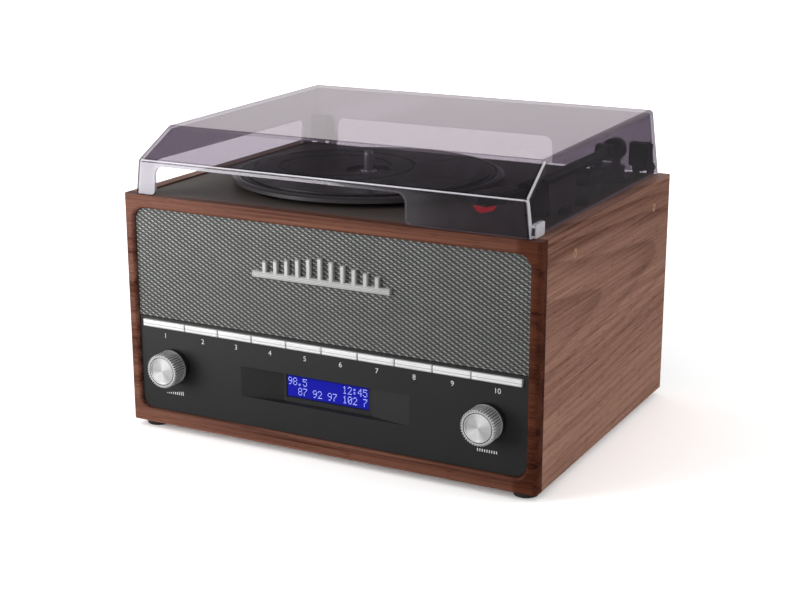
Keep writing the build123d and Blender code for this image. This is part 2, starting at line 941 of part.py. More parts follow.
for name, x in knob_spots.items():
    with BuildPart() as knob:
        with BuildSketch(facing_front(knob_back)):
            with Locations((x, knob_z)):
                Circle(knob_radius)
        extrude(amount=knob_back + knob_reach)
        knob_edges = knob.edges().filter_by(GeomType.CIRCLE).sort_by(Axis.Y)
        fillet(knob_edges[0], knob_round)
        with BuildSketch(facing_front(-knob_reach)):
            with Locations((x, knob_z)):
                Circle(knob_face_radius + press_gap)
        extrude(amount=-knob_face_thickness, mode=Mode.SUBTRACT)
        with BuildSketch(facing_front(knob_back)):
            with Locations((x, knob_z)):
                Circle(shaft_radius + press_gap)
        extrude(amount=knob_back - knob_bore_end, mode=Mode.SUBTRACT)
        with BuildSketch(facing_front(knob_back)):
            with Locations((x, knob_z)):
                Circle(knob_radius - knob_wall)
                Circle(shaft_radius + knob_sleeve, mode=Mode.SUBTRACT)
        extrude(amount=knob_hollow, mode=Mode.SUBTRACT)
    write(knob, f"{name}_knob")

    with BuildPart() as knob_face:
        with BuildSketch(facing_front(knob_seat)):
            with Locations((x, knob_z)):
                Circle(knob_face_radius)
        extrude(amount=knob_face_thickness)
        with BuildSketch(facing_front(-knob_reach)):
            with Locations((x, knob_z)):
                Circle(knob_face_radius - knob_face_rim)
        extrude(amount=-knob_face_dish, mode=Mode.SUBTRACT)
    write(knob_face, f"{name}_knob_face")

    with BuildPart() as shaft:
        with BuildSketch(facing_front(shaft_end)):
            with Locations((x, knob_z)):
                Circle(shaft_radius)
        extrude(amount=shaft_end - knob_bore_end)
        chamfer(shaft.edges().filter_by(GeomType.CIRCLE).sort_by(Axis.Y)[0], shaft_chamfer)
    write(shaft, f"{name}_shaft")

# Deck plate with its well, bosses and slots

pulley_x = platter_x + pulley_distance * cos(radians(pulley_angle))
pulley_y = platter_y + pulley_distance * sin(radians(pulley_angle))
bearing_hub_length = journal_length - journal_spare
slider_spots = {
    "speed_switch": (front_y + speed_depth, speed_travel),
    "auto_stop_switch": (front_y + auto_stop_depth, auto_stop_travel),
}
cue_y = arm_y - cue_ahead
cue_z = deck_z + cue_height
cue_block_x = arm_x + cue_cam_width / 2 + cue_block_gap + cue_block_width / 2
deck_front = front_y + board + panel_gap
rest_y = arm_front_y + rest_setback

with BuildPart() as deck_plate:
    with BuildSketch(facing_up(deck_under)):
        with Locations((0, (deck_front + back_face_y) / 2)):
            Rectangle(2 * (inner_half - panel_gap), back_face_y - deck_front)
    extrude(amount=deck_thickness)
    with BuildSketch(facing_up(well_z - deck_thickness)):
        with Locations((platter_x, platter_y)):
            Circle(well_radius + deck_thickness)
    extrude(amount=deck_z - well_z)
    with BuildSketch(facing_up(deck_z)):
        with Locations((platter_x, platter_y)):
            Circle(well_radius)
    extrude(amount=-well_depth, mode=Mode.SUBTRACT)
    for side in (-1, 1):
        with BuildSketch(facing_up(deck_under)):
            for depth in side_screw_depths:
                boss_x = side * (inner_half - panel_gap - boss_width / 2)
                with Locations((boss_x, front_y + depth)):
                    Rectangle(boss_width, boss_depth)
        extrude(amount=-boss_reach)
        for depth in side_screw_depths:
            with Locations(Plane((side * half_width, front_y + depth, side_screw_z), z_dir=(side, 0, 0))):
                Hole(screw_radius + running_gap, side_screw_length + screw_hole_spare)
    with BuildSketch(facing_up(well_z)):
        with Locations((platter_x, platter_y)):
            Circle(bearing_radius + bearing_hub_wall)
    extrude(amount=-bearing_hub_length)
    with BuildSketch(facing_up(well_z)):
        with Locations((platter_x, platter_y)):
            Circle(bearing_radius + press_gap)
        with Locations((pulley_x, pulley_y)):
            Circle(pulley_flange_radius + pulley_hole_gap)
    extrude(amount=-bearing_hub_length, mode=Mode.SUBTRACT)
    for slot_y, travel in slider_spots.values():
        with BuildSketch(facing_up(deck_z)):
            with Locations((switch_x, slot_y + travel / 2)):
                SlotCenterToCenter(travel, slider_stem + 2 * slide_gap, rotation=90)
        extrude(amount=-deck_thickness, mode=Mode.SUBTRACT)
    with BuildSketch(facing_up(deck_z)):
        with Locations((cue_block_x, cue_y)):
            Rectangle(cue_block_width, cue_block_depth)
    extrude(amount=cue_height + cue_radius + cue_block_rise)
    with Locations(Plane((cue_block_x, cue_y, cue_z), z_dir=(1, 0, 0))):
        Hole(cue_radius + running_gap)
write(deck_plate, "deck_plate")

with BuildPart() as spindle_bearing:
    with BuildSketch(facing_up(well_z)):
        with Locations((platter_x, platter_y)):
            Circle(bearing_radius)
    extrude(amount=-bearing_hub_length)
    with BuildSketch(facing_up(well_z)):
        with Locations((platter_x, platter_y)):
            Circle(bearing_radius + bearing_flange_width)
    extrude(amount=bearing_flange)
    with BuildSketch(facing_up(well_z + bearing_flange)):
        with Locations((platter_x, platter_y)):
            Circle(journal_radius + running_gap)
    extrude(amount=-bearing_hub_length - bearing_flange, mode=Mode.SUBTRACT)
write(spindle_bearing, "spindle_bearing")

# Platter, mat and spindle

drum_low = well_z + drum_gap
hub_low = well_z + bearing_flange + face_gap
rim_inner = platter_radius - rim_width

with BuildPart() as platter:
    with BuildSketch(Plane((platter_x, platter_y, 0), x_dir=(1, 0, 0), z_dir=(0, -1, 0))):
        with BuildLine():
            Polyline(
                (spindle_radius + press_gap, hub_low),
                (hub_radius, hub_low),
                (hub_radius, platter_low),
                (drum_radius - drum_wall, platter_low),
                (drum_radius - drum_wall, drum_low),
                (drum_radius, drum_low),
                (drum_radius, platter_low),
                (platter_radius, platter_low),
                (platter_radius, platter_top - platter_chamfer / 2),
                (platter_radius - platter_chamfer, platter_top),
                (rim_inner, platter_top),
                (rim_inner, mat_low),
                (spindle_radius + press_gap, mat_low),
                close=True,
            )
        make_face()
    revolve(axis=Axis((platter_x, platter_y, 0), (0, 0, 1)))
write(platter, "platter")

with BuildPart() as platter_mat:
    with BuildSketch(facing_up(mat_low)):
        with Locations((platter_x, platter_y)):
            Circle(mat_radius)
            Circle(mat_hole_radius, mode=Mode.SUBTRACT)
    extrude(amount=mat_thickness)
    with BuildSketch(facing_up(mat_top)):
        with Locations((platter_x, platter_y)):
            Circle(mat_radius)
            Circle(mat_step_radius, mode=Mode.SUBTRACT)
            for radius in mat_groove_radii:
                add(
                    (Circle(radius + mat_groove_width / 2, mode=Mode.PRIVATE)
                     - Circle(radius - mat_groove_width / 2, mode=Mode.PRIVATE))
                )
    extrude(amount=-mat_groove_depth, mode=Mode.SUBTRACT)
    spoke_inner, spoke_outer = mat_groove_radii[1], mat_step_radius
    with BuildSketch(facing_up(mat_top)):
        with Locations((platter_x, platter_y)):
            with PolarLocations((spoke_inner + spoke_outer) / 2, mat_spoke_count):
                Rectangle(spoke_outer - spoke_inner, mat_groove_width / 2)
    extrude(amount=-mat_groove_depth, mode=Mode.SUBTRACT)
write(platter_mat, "platter_mat")

spindle_top = mat_top + spindle_height
journal_low = well_z - journal_length

with BuildPart() as spindle:
    with BuildSketch(Plane((platter_x, platter_y, 0), x_dir=(1, 0, 0), z_dir=(0, -1, 0))):
        with BuildLine():
            Polyline(
                (0, journal_low),
                (journal_radius, journal_low),
                (journal_radius, hub_low),
                (spindle_radius, hub_low),
                (spindle_radius, mat_low),
                (spindle_collar_radius, mat_low),
                (spindle_collar_radius, mat_low + spindle_collar_height),
                (spindle_radius, mat_low + spindle_collar_height),
                (spindle_radius, spindle_top - spindle_radius),
            )
            RadiusArc(
                (spindle_radius, spindle_top - spindle_radius), (0, spindle_top), -spindle_radius
            )
            Line((0, spindle_top), (0, journal_low))
        make_face()
    revolve(axis=Axis((platter_x, platter_y, 0), (0, 0, 1)))
write(spindle, "spindle")

# Belt drive

pulley_low = drum_low - pulley_flange
belt_low = drum_low + belt_rise
motor_top = well_z - deck_thickness
shaft_top = pulley_low + belt_width + 2 * pulley_flange + pulley_cap

with BuildPart() as motor_pulley:
    with BuildSketch(facing_up(pulley_low)):
        with Locations((pulley_x, pulley_y)):
            Circle(pulley_flange_radius)
    extrude(amount=pulley_flange)
    with BuildSketch(facing_up(pulley_low)):
        with Locations((pulley_x, pulley_y)):
            Circle(pulley_radius)
    extrude(amount=shaft_top - pulley_low)
    with BuildSketch(facing_up(shaft_top)):
        with Locations((pulley_x, pulley_y)):
            Circle(motor_shaft_radius + running_gap)
    extrude(amount=pulley_low - shaft_top, mode=Mode.SUBTRACT)
write(motor_pulley, "motor_pulley")

with BuildPart() as drive_motor:
    with BuildSketch(facing_up(motor_top)):
        with Locations((pulley_x, pulley_y)):
            Circle(motor_radius)
    extrude(amount=-motor_height)
    fillet(drive_motor.edges().filter_by(GeomType.CIRCLE).sort_by(Axis.Z)[0], motor_round)
    with BuildSketch(facing_up(motor_top)):
        with Locations((pulley_x, pulley_y)):
            Circle(motor_shaft_radius)
    extrude(amount=shaft_top - motor_top)
write(drive_motor, "drive_motor")

with BuildPart() as drive_belt:
    with BuildSketch(facing_up(belt_low)):
        for grow, mode in ((face_gap + belt_thickness, Mode.ADD), (face_gap, Mode.SUBTRACT)):
            with BuildSketch(mode=Mode.PRIVATE) as loop:
                with Locations((platter_x, platter_y)):
                    Circle(drum_radius + grow)
                with Locations((pulley_x, pulley_y)):
                    Circle(pulley_radius + grow)
                make_hull()
            add(loop.sketch, mode=mode)
    extrude(amount=belt_width)
write(drive_belt, "drive_belt")

# Tonearm on its base

base_top = deck_z + base_height
disc_low = base_top + face_gap
disc_top = disc_low + gimbal_disc
cheek_x = arm_block / 2 + slide_gap + cheek_thickness / 2

with BuildPart() as tonearm_base:
    with BuildSketch(facing_up(deck_z)):
        with Locations((arm_x, arm_y)):
            Circle(base_radius)
    extrude(amount=base_skirt_height)
    with BuildSketch(facing_up(deck_z)):
        with Locations((arm_x, arm_y)):
            Circle(gimbal_radius)
    extrude(amount=base_height)
    fillet(tonearm_base.edges().filter_by(GeomType.CIRCLE).sort_by(Axis.Z)[-1], base_round)
    with BuildSketch(facing_up(base_top)):
        with Locations((arm_x, arm_y)):
            Circle(gimbal_pin_radius + running_gap)
    extrude(amount=-gimbal_pin_length - gimbal_pin_spare, mode=Mode.SUBTRACT)
write(tonearm_base, "tonearm_base")

with BuildPart() as tonearm_gimbal:
    with BuildSketch(facing_up(disc_low)):
        with Locations((arm_x, arm_y)):
            Circle(gimbal_radius)
    extrude(amount=gimbal_disc)
    with BuildSketch(facing_up(disc_low)):
        with Locations((arm_x, arm_y)):
            Circle(gimbal_pin_radius)
    extrude(amount=-gimbal_pin_length)
    for side in (-1, 1):
        with BuildSketch(facing_right(arm_x + side * cheek_x - cheek_thickness / 2)):
            with Locations((arm_y, (disc_top + arm_z) / 2)):
                Rectangle(cheek_width, arm_z - disc_top)
            with Locations((arm_y, arm_z)):
                Circle(cheek_width / 2)
                Circle(trunnion_radius + running_gap, mode=Mode.SUBTRACT)
        extrude(amount=cheek_thickness)
write(tonearm_gimbal, "tonearm_gimbal")

with BuildPart() as tonearm_tube:
    with BuildSketch(Plane((arm_x, arm_front_y, arm_z), z_dir=(0, 1, 0))):
        Circle(arm_radius)
    extrude(amount=arm_y - arm_front_y + arm_tail)
    with Locations((arm_x, arm_y, arm_z)):
        Box(arm_block, arm_block, arm_block)
    fillet(tonearm_tube.edges().filter_by(Axis.X), arm_block_round)
    with BuildSketch(facing_right(arm_x - cheek_x - cheek_thickness / 2)):
        with Locations((arm_y, arm_z)):
            Circle(trunnion_radius)
    extrude(amount=2 * cheek_x + cheek_thickness)
write(tonearm_tube, "tonearm_tube")

with BuildPart() as counterweight:
    with BuildSketch(Plane((arm_x, arm_y + weight_offset, arm_z), z_dir=(0, 1, 0))):
        Circle(weight_radius)
        Circle(arm_radius + press_gap, mode=Mode.SUBTRACT)
    extrude(amount=weight_length)
    chamfer(counterweight.edges().filter_by(GeomType.CIRCLE).sort_by(SortBy.RADIUS)[-2:], weight_chamfer)
write(counterweight, "counterweight")

shell_plane = Plane(
    origin=(arm_x, arm_front_y, arm_z),
    x_dir=(cos(radians(shell_angle)), -sin(radians(shell_angle)), 0),
    z_dir=(0, 0, 1),
)
shell_under = -shell_height / 2
cartridge_mid = -shell_length + stylus_setback + cartridge_length / 2
stylus_mid = -shell_length + stylus_setback + stylus_length / 2 - stylus_lead

with BuildPart() as headshell:
    with BuildSketch(shell_plane.offset(shell_under)):
        with BuildLine():
            Polyline(
                (-shell_width / 2, -shell_neck),
                (-shell_width / 2, -shell_length + shell_taper),
                (-shell_nose_width / 2, -shell_length),
                (shell_nose_width / 2, -shell_length),
                (shell_width / 2, -shell_length + shell_taper),
                (shell_width / 2, -shell_neck),
                (arm_radius, 0),
                (-arm_radius, 0),
                close=True,
            )
        make_face()
    extrude(amount=shell_height)
    fillet(headshell.edges().filter_by(Axis.Z), shell_corner)
    fillet(headshell.edges().group_by(Axis.Z)[-1], shell_top_round)
    with BuildSketch(shell_plane.offset(shell_under)):
        with Locations((0, cartridge_mid)):
            RectangleRounded(cartridge_width, cartridge_length, cartridge_corner)
    extrude(amount=-cartridge_drop)
    with BuildSketch(shell_plane.offset(shell_under + finger_rise)):
        finger_x = shell_width / 2 + finger_length / 2 - finger_overlap
        with Locations((finger_x, -shell_length + finger_setback)):
            SlotOverall(finger_length, finger_width)
    extrude(amount=finger_thickness)
    with BuildSketch(Plane((arm_x, arm_front_y - collar_overlap, arm_z), z_dir=(0, 1, 0))):
        Circle(collar_radius)
    extrude(amount=collar_length)
    with BuildSketch(Plane((arm_x, arm_front_y - press_gap, arm_z), z_dir=(0, 1, 0))):
        Circle(arm_radius + press_gap)
    extrude(amount=collar_length, mode=Mode.SUBTRACT)
write(headshell, "headshell")

stylus_top = shell_under - cartridge_drop

with BuildPart() as stylus:
    with BuildSketch(shell_plane.offset(stylus_top)):
        with Locations((0, stylus_mid)):
            RectangleRounded(stylus_width, stylus_length, stylus_corner)
    with BuildSketch(shell_plane.offset(stylus_top - stylus_height)):
        with Locations((0, stylus_mid)):
            RectangleRounded(
                stylus_width - stylus_narrowing, stylus_length - stylus_shortening, stylus_tip_corner
            )
    loft()
write(stylus, "stylus")

rest_floor = arm_z - arm_radius - face_gap

with BuildPart() as arm_rest:
    with BuildSketch(facing_up(deck_z)):
        with Locations((arm_x + rest_shift, rest_y)):
            RectangleRounded(rest_width, rest_thickness + rest_foot_spare, rest_foot_height)
    extrude(amount=rest_foot_height)
    with BuildSketch(facing_front(rest_y - front_y + rest_thickness / 2)):
        with BuildLine():
            Polyline(
                (arm_x - arm_radius, deck_z),
                (arm_x + arm_radius + rest_thickness, deck_z),
                (arm_x + arm_radius + rest_thickness - rest_side_lean, arm_z + rest_post_rise),
                (arm_x + arm_radius + rest_side_gap, arm_z + rest_post_rise),
                (arm_x + arm_radius + rest_side_gap, rest_floor),
                (arm_x - arm_radius, rest_floor),
                close=True,
            )
        make_face()
    extrude(amount=rest_thickness)
    fillet(arm_rest.edges().filter_by(Axis.Y).group_by(Axis.Z)[-1], rest_round)
write(arm_rest, "arm_rest")

cam_radius = arm_z - arm_radius - face_gap - cue_z + cue_cam_eccentricity
cue_right = cue_block_x + cue_block_width / 2 + slide_gap
cue_left = arm_x - cue_cam_width / 2

with BuildPart() as cue_lever:
    with BuildSketch(facing_right(cue_left)):
        with Locations((cue_y, cue_z)):
            Circle(cue_radius)
    extrude(amount=cue_right + cue_lever_thickness - cue_left)
    with BuildSketch(facing_right(cue_left)):
        with Locations((cue_y, cue_z - cue_cam_eccentricity)):
            Circle(cam_radius)
    extrude(amount=cue_cam_width)
    with BuildSketch(facing_right(cue_right)):
        with BuildLine():
            Polyline(
                (cue_y + cue_radius + cue_lever_root, cue_z - cue_radius),
                (cue_y + cue_radius + cue_lever_root, cue_z + cue_radius + cue_lever_root),
                (cue_y - cue_lever_length, cue_z + cue_lever_tip),
                (cue_y - cue_lever_length, cue_z),
                close=True,
            )
        make_face()
    extrude(amount=cue_lever_thickness)
    fillet(cue_lever.edges().filter_by(Axis.X).group_by(Axis.Y)[0], cue_lever_round)
write(cue_lever, "cue_lever")

for name, (slot_y, travel) in slider_spots.items():
    with BuildPart() as slider:
        with BuildSketch(facing_up(deck_z + slide_gap)):
            with Locations((switch_x, slot_y)):
                RectangleRounded(slider_width, slider_length, slider_corner)
        extrude(amount=slider_height)
        fillet(slider.edges().group_by(Axis.Z)[-1], slider_round)
        with BuildSketch(facing_up(deck_z + slide_gap)):
            with Locations((switch_x, slot_y)):
                Circle(slider_stem / 2)
        extrude(amount=-deck_thickness - 2 * slide_gap)
        with BuildSketch(facing_up(deck_under - slide_gap)):
            with Locations((switch_x, slot_y)):
                Circle(slider_stem)
        extrude(amount=-slider_foot)
    write(slider, name)

# Dust cover

ridge_half_width = cover_half_width - cover_lean
lean_slope = cover_lean / cover_ridge_height


def cover_form(inset):
    """Outer form of the dust cover, drawn in by an inset and carried on below its edge."""
    skirt = 10.0
    with BuildPart() as form:
        with BuildSketch(facing_right(0)):
            with BuildLine():
                Polyline(
                    (front_y + cover_front, cover_low - skirt),
                    (front_y + cover_front, cover_low + cover_bevel_height),
                    (front_y + cover_ridge_depth, cover_low + cover_ridge_height),
                    (back_y, cover_low + cover_back_height),
                    (back_y, cover_low - skirt),
                    close=True,
                )
            make_face()
            if inset:
                offset(amount=-inset, kind=Kind.INTERSECTION)
        extrude(amount=cabinet_width, both=True)
        for side in (-1, 1):
            wall = Plane(
                origin=(side * (cover_half_width - inset), 0, cover_low),
                x_dir=(0, 1, 0),
                z_dir=(side, 0, lean_slope),
            )
            split(bisect_by=wall, keep=Keep.BOTTOM)
        soft = form.edges().filter_by(
            lambda edge: edge.center().Z > cover_low - skirt / 2
        )
        fillet(soft, cover_round - inset)
    return form.part


hinge_spots = (-hinge_x, hinge_x)

with BuildPart() as dust_cover:
    add(cover_form(0))
    add(cover_form(cover_wall), mode=Mode.SUBTRACT)
    split(bisect_by=facing_up(cover_low), keep=Keep.TOP)
    with BuildSketch(facing_front(2 * cover_front + cover_wall)):
        with Locations(((cut_left + cut_right) / 2, cover_low)):
            RectangleRounded(cut_right - cut_left, 2 * cut_height, cut_radius)
    extrude(amount=2 * cover_front + cover_wall, mode=Mode.SUBTRACT)
    with BuildSketch(facing_right(-half_width)):
        with Locations((front_y + (side_cut_front + side_cut_back) / 2, cover_low)):
            RectangleRounded(side_cut_back - side_cut_front, 2 * cut_height, cut_radius)
    extrude(amount=2 * board, mode=Mode.SUBTRACT)
    with BuildSketch(facing_back(back_y - 2 * cover_wall)):
        with Locations((-platter_x, cover_low)):
            RectangleRounded(2 * rear_cut_half_width, 2 * cut_height, cut_radius)
        for x in hinge_spots:
            with Locations((x, cover_low)):
                Rectangle(notch_width, 2 * notch_height)
    extrude(amount=4 * cover_wall, mode=Mode.SUBTRACT)
    leg_feet = dust_cover.edges().filter_by(Axis.Y).filter_by(
        lambda edge: abs(edge.center().Z - cover_low) < 0.01
        and edge.center().Y < front_y + cover_front + cover_wall
        and cut_left - 1 < edge.center().X < cut_right + 1
    )
    fillet(leg_feet, cut_foot_round)
    with BuildSketch(facing_right(cover_half_width - tab_root)):
        tab_y = front_y + cover_front + tab_inset + tab_length / 2
        with Locations((tab_y, cover_low + tab_height / 2)):
            RectangleRounded(tab_length, tab_height, tab_round)
    extrude(amount=tab_reach)
write(dust_cover, "dust_cover")

# Hinges: a clip on the cover's rear wall, turning on a pin between two ears

wall_inner = back_y - cover_wall
jaw_low = cover_low + notch_height - jaw_overlap
bridge_low = cover_low + bridge_lift
bridge_top = bridge_low + bridge_height

with BuildPart() as hinge_clips:
    for x in hinge_spots:
        with BuildSketch(facing_up(jaw_low)):
            with Locations((x, wall_inner - slide_gap - jaw_thickness / 2)):
                Rectangle(hinge_width, jaw_thickness)
        extrude(amount=jaw_height)
        with BuildSketch(facing_up(jaw_low)):
            with Locations((x, back_y + slide_gap + outer_jaw_thickness / 2)):
                Rectangle(hinge_width, outer_jaw_thickness)
        extrude(amount=outer_jaw_height)
        with BuildSketch(facing_up(bridge_low)):
            bridge_front = wall_inner - slide_gap - jaw_thickness
            bridge_back = back_y + slide_gap + outer_jaw_thickness
            with Locations((x, (bridge_front + bridge_back) / 2)):
                Rectangle(barrel_width, bridge_back - bridge_front)
        extrude(amount=bridge_height)
        with BuildSketch(facing_right(x - barrel_width / 2)):
            with Locations((hinge_y, hinge_z)):
                Circle(barrel_radius)
            with BuildLine():
                Polyline(
                    (bridge_back - bridge_overlap, bridge_low),
                    (hinge_y, hinge_z - barrel_radius + bridge_overlap),
                    (hinge_y, hinge_z + barrel_radius),
                    (bridge_back - bridge_overlap, bridge_top),
                    close=True,
                )
            make_face()
        extrude(amount=barrel_width)
        with Locations(Plane((x, hinge_y, hinge_z), z_dir=(1, 0, 0))):
            Hole(hinge_pin_radius + running_gap, hinge_width)
write(hinge_clips, "hinge_clips")

ear_x = barrel_width / 2 + slide_gap + ear_thickness / 2

with BuildPart() as hinge_brackets:
    for x in hinge_spots:
        with BuildSketch(facing_back(back_face_y)):
            with Locations((-x, (bracket_low + deck_z) / 2)):
                Rectangle(bracket_width, bracket_height)
            with Locations(*[(-sx, sz) for sx, sz in bracket_screw_spots]):
                Circle(screw_radius + running_gap, mode=Mode.SUBTRACT)
        extrude(amount=bracket_thickness)
        for side in (-1, 1):
            with BuildSketch(facing_right(x + side * ear_x - ear_thickness / 2)):
                with BuildSketch(mode=Mode.PRIVATE) as ear:
                    with Locations((hinge_y, hinge_z)):
                        Circle(hinge_ear_radius)
                    with Locations((back_face_y + bracket_thickness / 2, deck_z - bracket_height / 4)):
                        Rectangle(bracket_thickness, bracket_height / 2)
                    make_hull()
                add(ear.sketch)
                with Locations((hinge_y, hinge_z)):
                    Circle(hinge_pin_radius + press_gap, mode=Mode.SUBTRACT)
            extrude(amount=ear_thickness)
write(hinge_brackets, "hinge_brackets")

with BuildPart() as hinge_pins:
    for x in hinge_spots:
        with BuildSketch(facing_right(x - ear_x - ear_thickness)):
            with Locations((hinge_y, hinge_z)):
                Circle(hinge_pin_radius)
        extrude(amount=2 * (ear_x + ear_thickness))
write(hinge_pins, "hinge_pins")

# Electronics and rear sockets

main_board_z = floor_z + standoff_height
main_y = front_y + main_board_y

with BuildPart() as main_circuit_board:
    with BuildSketch(facing_up(main_board_z)):
        with Locations((main_board_x, main_y)):
            Rectangle(main_board_width, main_board_depth)
    extrude(amount=board_thickness)
    with BuildSketch(facing_up(floor_z)):
        with Locations((main_board_x, main_y)):
            post_width = main_board_width - 2 * standoff_inset
            post_depth = main_board_depth - 2 * standoff_inset
            with GridLocations(post_width, post_depth, 2, 2):
                Circle(standoff_radius)
    extrude(amount=standoff_height)
    with BuildSketch(facing_up(main_board_z + board_thickness)):
        with Locations(*[(main_board_x + capacitor_x, main_y + y) for y in capacitor_ys]):
            Circle(capacitor_radius)
    extrude(amount=capacitor_height)
    with BuildSketch(facing_up(main_board_z + board_thickness)):
        with Locations((main_board_x + heat_sink_x, main_y + heat_sink_y)):
            Rectangle(heat_sink_width, heat_sink_depth)
            with GridLocations(heat_sink_width / heat_sink_fins, 1, heat_sink_fins - 1, 1):
                Rectangle(heat_sink_slot, heat_sink_depth * heat_sink_slot_share, mode=Mode.SUBTRACT)
        with Locations((main_board_x + coil_block_x, main_y + coil_block_y)):
            Rectangle(coil_block_width, coil_block_depth)
    extrude(amount=heat_sink_height)
write(main_circuit_board, "main_circuit_board")

jack_y = back_face_y
socket_spots = {
    "phono": (jack_panel_x + phono_offset, jack_z),
    "aux": (jack_panel_x + aux_offset, jack_z),
    "aerial": (jack_panel_x + aerial_offset, jack_z),
    "power": (jack_panel_x + power_offset, jack_z),
}

with BuildPart() as jack_panel:
    with BuildSketch(facing_back(jack_y)):
        with Locations((-jack_panel_x, jack_z)):
            RectangleRounded(jack_panel_width, jack_panel_height, jack_panel_corner)
    extrude(amount=jack_panel_thickness)
    phono_x, phono_z = socket_spots["phono"]
    phono_places = [(-phono_x, phono_z - phono_spacing / 2), (-phono_x, phono_z + phono_spacing / 2)]
    aerial_place = (-socket_spots["aerial"][0], socket_spots["aerial"][1])
    power_place = (-socket_spots["power"][0], socket_spots["power"][1])
    aux_place = (-socket_spots["aux"][0], socket_spots["aux"][1])
    with BuildSketch(facing_back(jack_y)):
        with Locations(*phono_places):
            Circle(phono_radius)
    extrude(amount=jack_panel_thickness + phono_length)
    with BuildSketch(facing_back(jack_y)):
        with Locations(aerial_place):
            Circle(aerial_radius)
    extrude(amount=jack_panel_thickness + aerial_length - aerial_setback)
    with BuildSketch(facing_back(jack_y - back_thickness)):
        with Locations(power_place):
            Circle(power_inlet_radius)
        with Locations(aux_place):
            Circle(small_jack_radius)
    extrude(amount=back_thickness + jack_panel_thickness + socket_stand)
    with BuildSketch(facing_back(jack_y + jack_panel_thickness + aerial_length)):
        with Locations(*phono_places, aerial_place):
            Circle(phono_bore)
        with Locations(aux_place):
            Circle(small_jack_bore)
        with Locations(power_place):
            Circle(power_inlet_bore)
            Circle(power_pin_radius, mode=Mode.SUBTRACT)
    extrude(amount=-aerial_length - jack_panel_thickness, mode=Mode.SUBTRACT)
write(jack_panel, "jack_panel")

# Machine screws and wood screws of one size

with BuildPart() as case_screws:
    screw = pan_screw(screw_head_radius, screw_head_height, screw_length)
    places = []
    for x, y in foot_spots:
        places.append(Plane((x, y, foot_height / 2), z_dir=(0, 0, -1)))
    for x, z in back_screw_spots:
        places.append(Plane((x, back_face_y, z), z_dir=(0, 1, 0)))
    for x, z in bracket_screw_spots:
        places.append(Plane((x, back_face_y + bracket_thickness, z), z_dir=(0, 1, 0)))
    for x, z in speaker_bolts:
        places.append(Plane((x, front_y + flange_back, z), z_dir=(0, 1, 0)))
    for x, z in pillar_spots:
        places.append(Plane((x, front_y + front_board_depth + board_thickness, z), z_dir=(0, 1, 0)))
    for place in places:
        add(screw.moved(place.location))
write(case_screws, "case_screws")
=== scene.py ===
from math import atan2, pi, radians

import bmesh
import bpy
from bpy.props import FloatProperty, FloatVectorProperty, IntProperty, PointerProperty, StringProperty
from mathutils import Matrix, Vector


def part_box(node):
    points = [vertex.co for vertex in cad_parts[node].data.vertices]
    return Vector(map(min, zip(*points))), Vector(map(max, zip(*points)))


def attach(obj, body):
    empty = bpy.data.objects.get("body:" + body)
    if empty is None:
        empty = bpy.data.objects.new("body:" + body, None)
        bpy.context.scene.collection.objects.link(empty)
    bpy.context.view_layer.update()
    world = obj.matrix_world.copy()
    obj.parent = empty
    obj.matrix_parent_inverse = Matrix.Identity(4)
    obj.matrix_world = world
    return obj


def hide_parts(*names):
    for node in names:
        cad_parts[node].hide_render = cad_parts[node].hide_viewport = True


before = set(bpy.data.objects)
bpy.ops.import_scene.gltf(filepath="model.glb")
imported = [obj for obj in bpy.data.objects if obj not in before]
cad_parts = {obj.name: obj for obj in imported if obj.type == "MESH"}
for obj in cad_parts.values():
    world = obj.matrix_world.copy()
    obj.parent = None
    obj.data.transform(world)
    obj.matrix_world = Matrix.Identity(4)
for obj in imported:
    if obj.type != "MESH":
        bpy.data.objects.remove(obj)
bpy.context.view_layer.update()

bl_info = {
    "name": "Tabletop record player",
    "version": (1, 0, 0),
    "blender": (4, 5, 0),
    "location": "3D View > Sidebar > Record Player",
    "description": "Dresses a record player with a wood-wrapped cabinet and a smoked cover",
    "category": "Object",
}

MM = 0.001
BODY = "cabinet"
CREASE = 35

# Places read from the solids
BUTTONS = [f"button_{i + 1}" for i in range(10)]
CLOTH_LOW, CLOTH_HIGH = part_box("grille_cloth")
DISPLAY_LOW, DISPLAY_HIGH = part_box("display_module")
FRAME_LOW, FRAME_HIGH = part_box("cabinet_front_frame")
PLATTER_LOW, PLATTER_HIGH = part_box("platter")
COVER_LOW, COVER_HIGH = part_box("dust_cover")
PANEL_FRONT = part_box("control_panel")[0].y
BUTTON_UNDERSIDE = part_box(BUTTONS[0])[0].z
ORNAMENT_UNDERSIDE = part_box("grille_ornament")[0].z
DECK_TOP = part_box("deck_plate")[1].z
PLATTER_CENTRE = (PLATTER_LOW + PLATTER_HIGH) / 2
FRONT = FRAME_LOW.y
UNDERSIDE = FRAME_LOW.z

# Wood wrap: how the year rings run along and across the board, how many, how dark and where each one starts
FRONT_RINGS = {"run": 1.3, "cross": 30, "count": 7, "depth": 0.26, "start": 0.35}
SIDE_RINGS = {"run": 2.2, "cross": 14, "count": 3.2, "depth": 0.15, "start": 0.4}
DARKEST = 0.92
HEART_LEVEL = 122 * MM
ARCH_BEND = 900
ARCH_RUN = 8
# Painted shade on the front frame's right stile: the stile's width, and how far the shade blends in before it
STILE_WIDTH = 14 * MM
STILE_BLEND = 5 * MM

# Grille cloth and ornament
CLOTH_CORNER = 8.6 * MM
THREAD_TILT = 0.55
ORNAMENT_GROOVES = (1.1 * MM, 2.25 * MM, 3.4 * MM)
ORNAMENT_GROOVE_WIDTH = 0.3 * MM

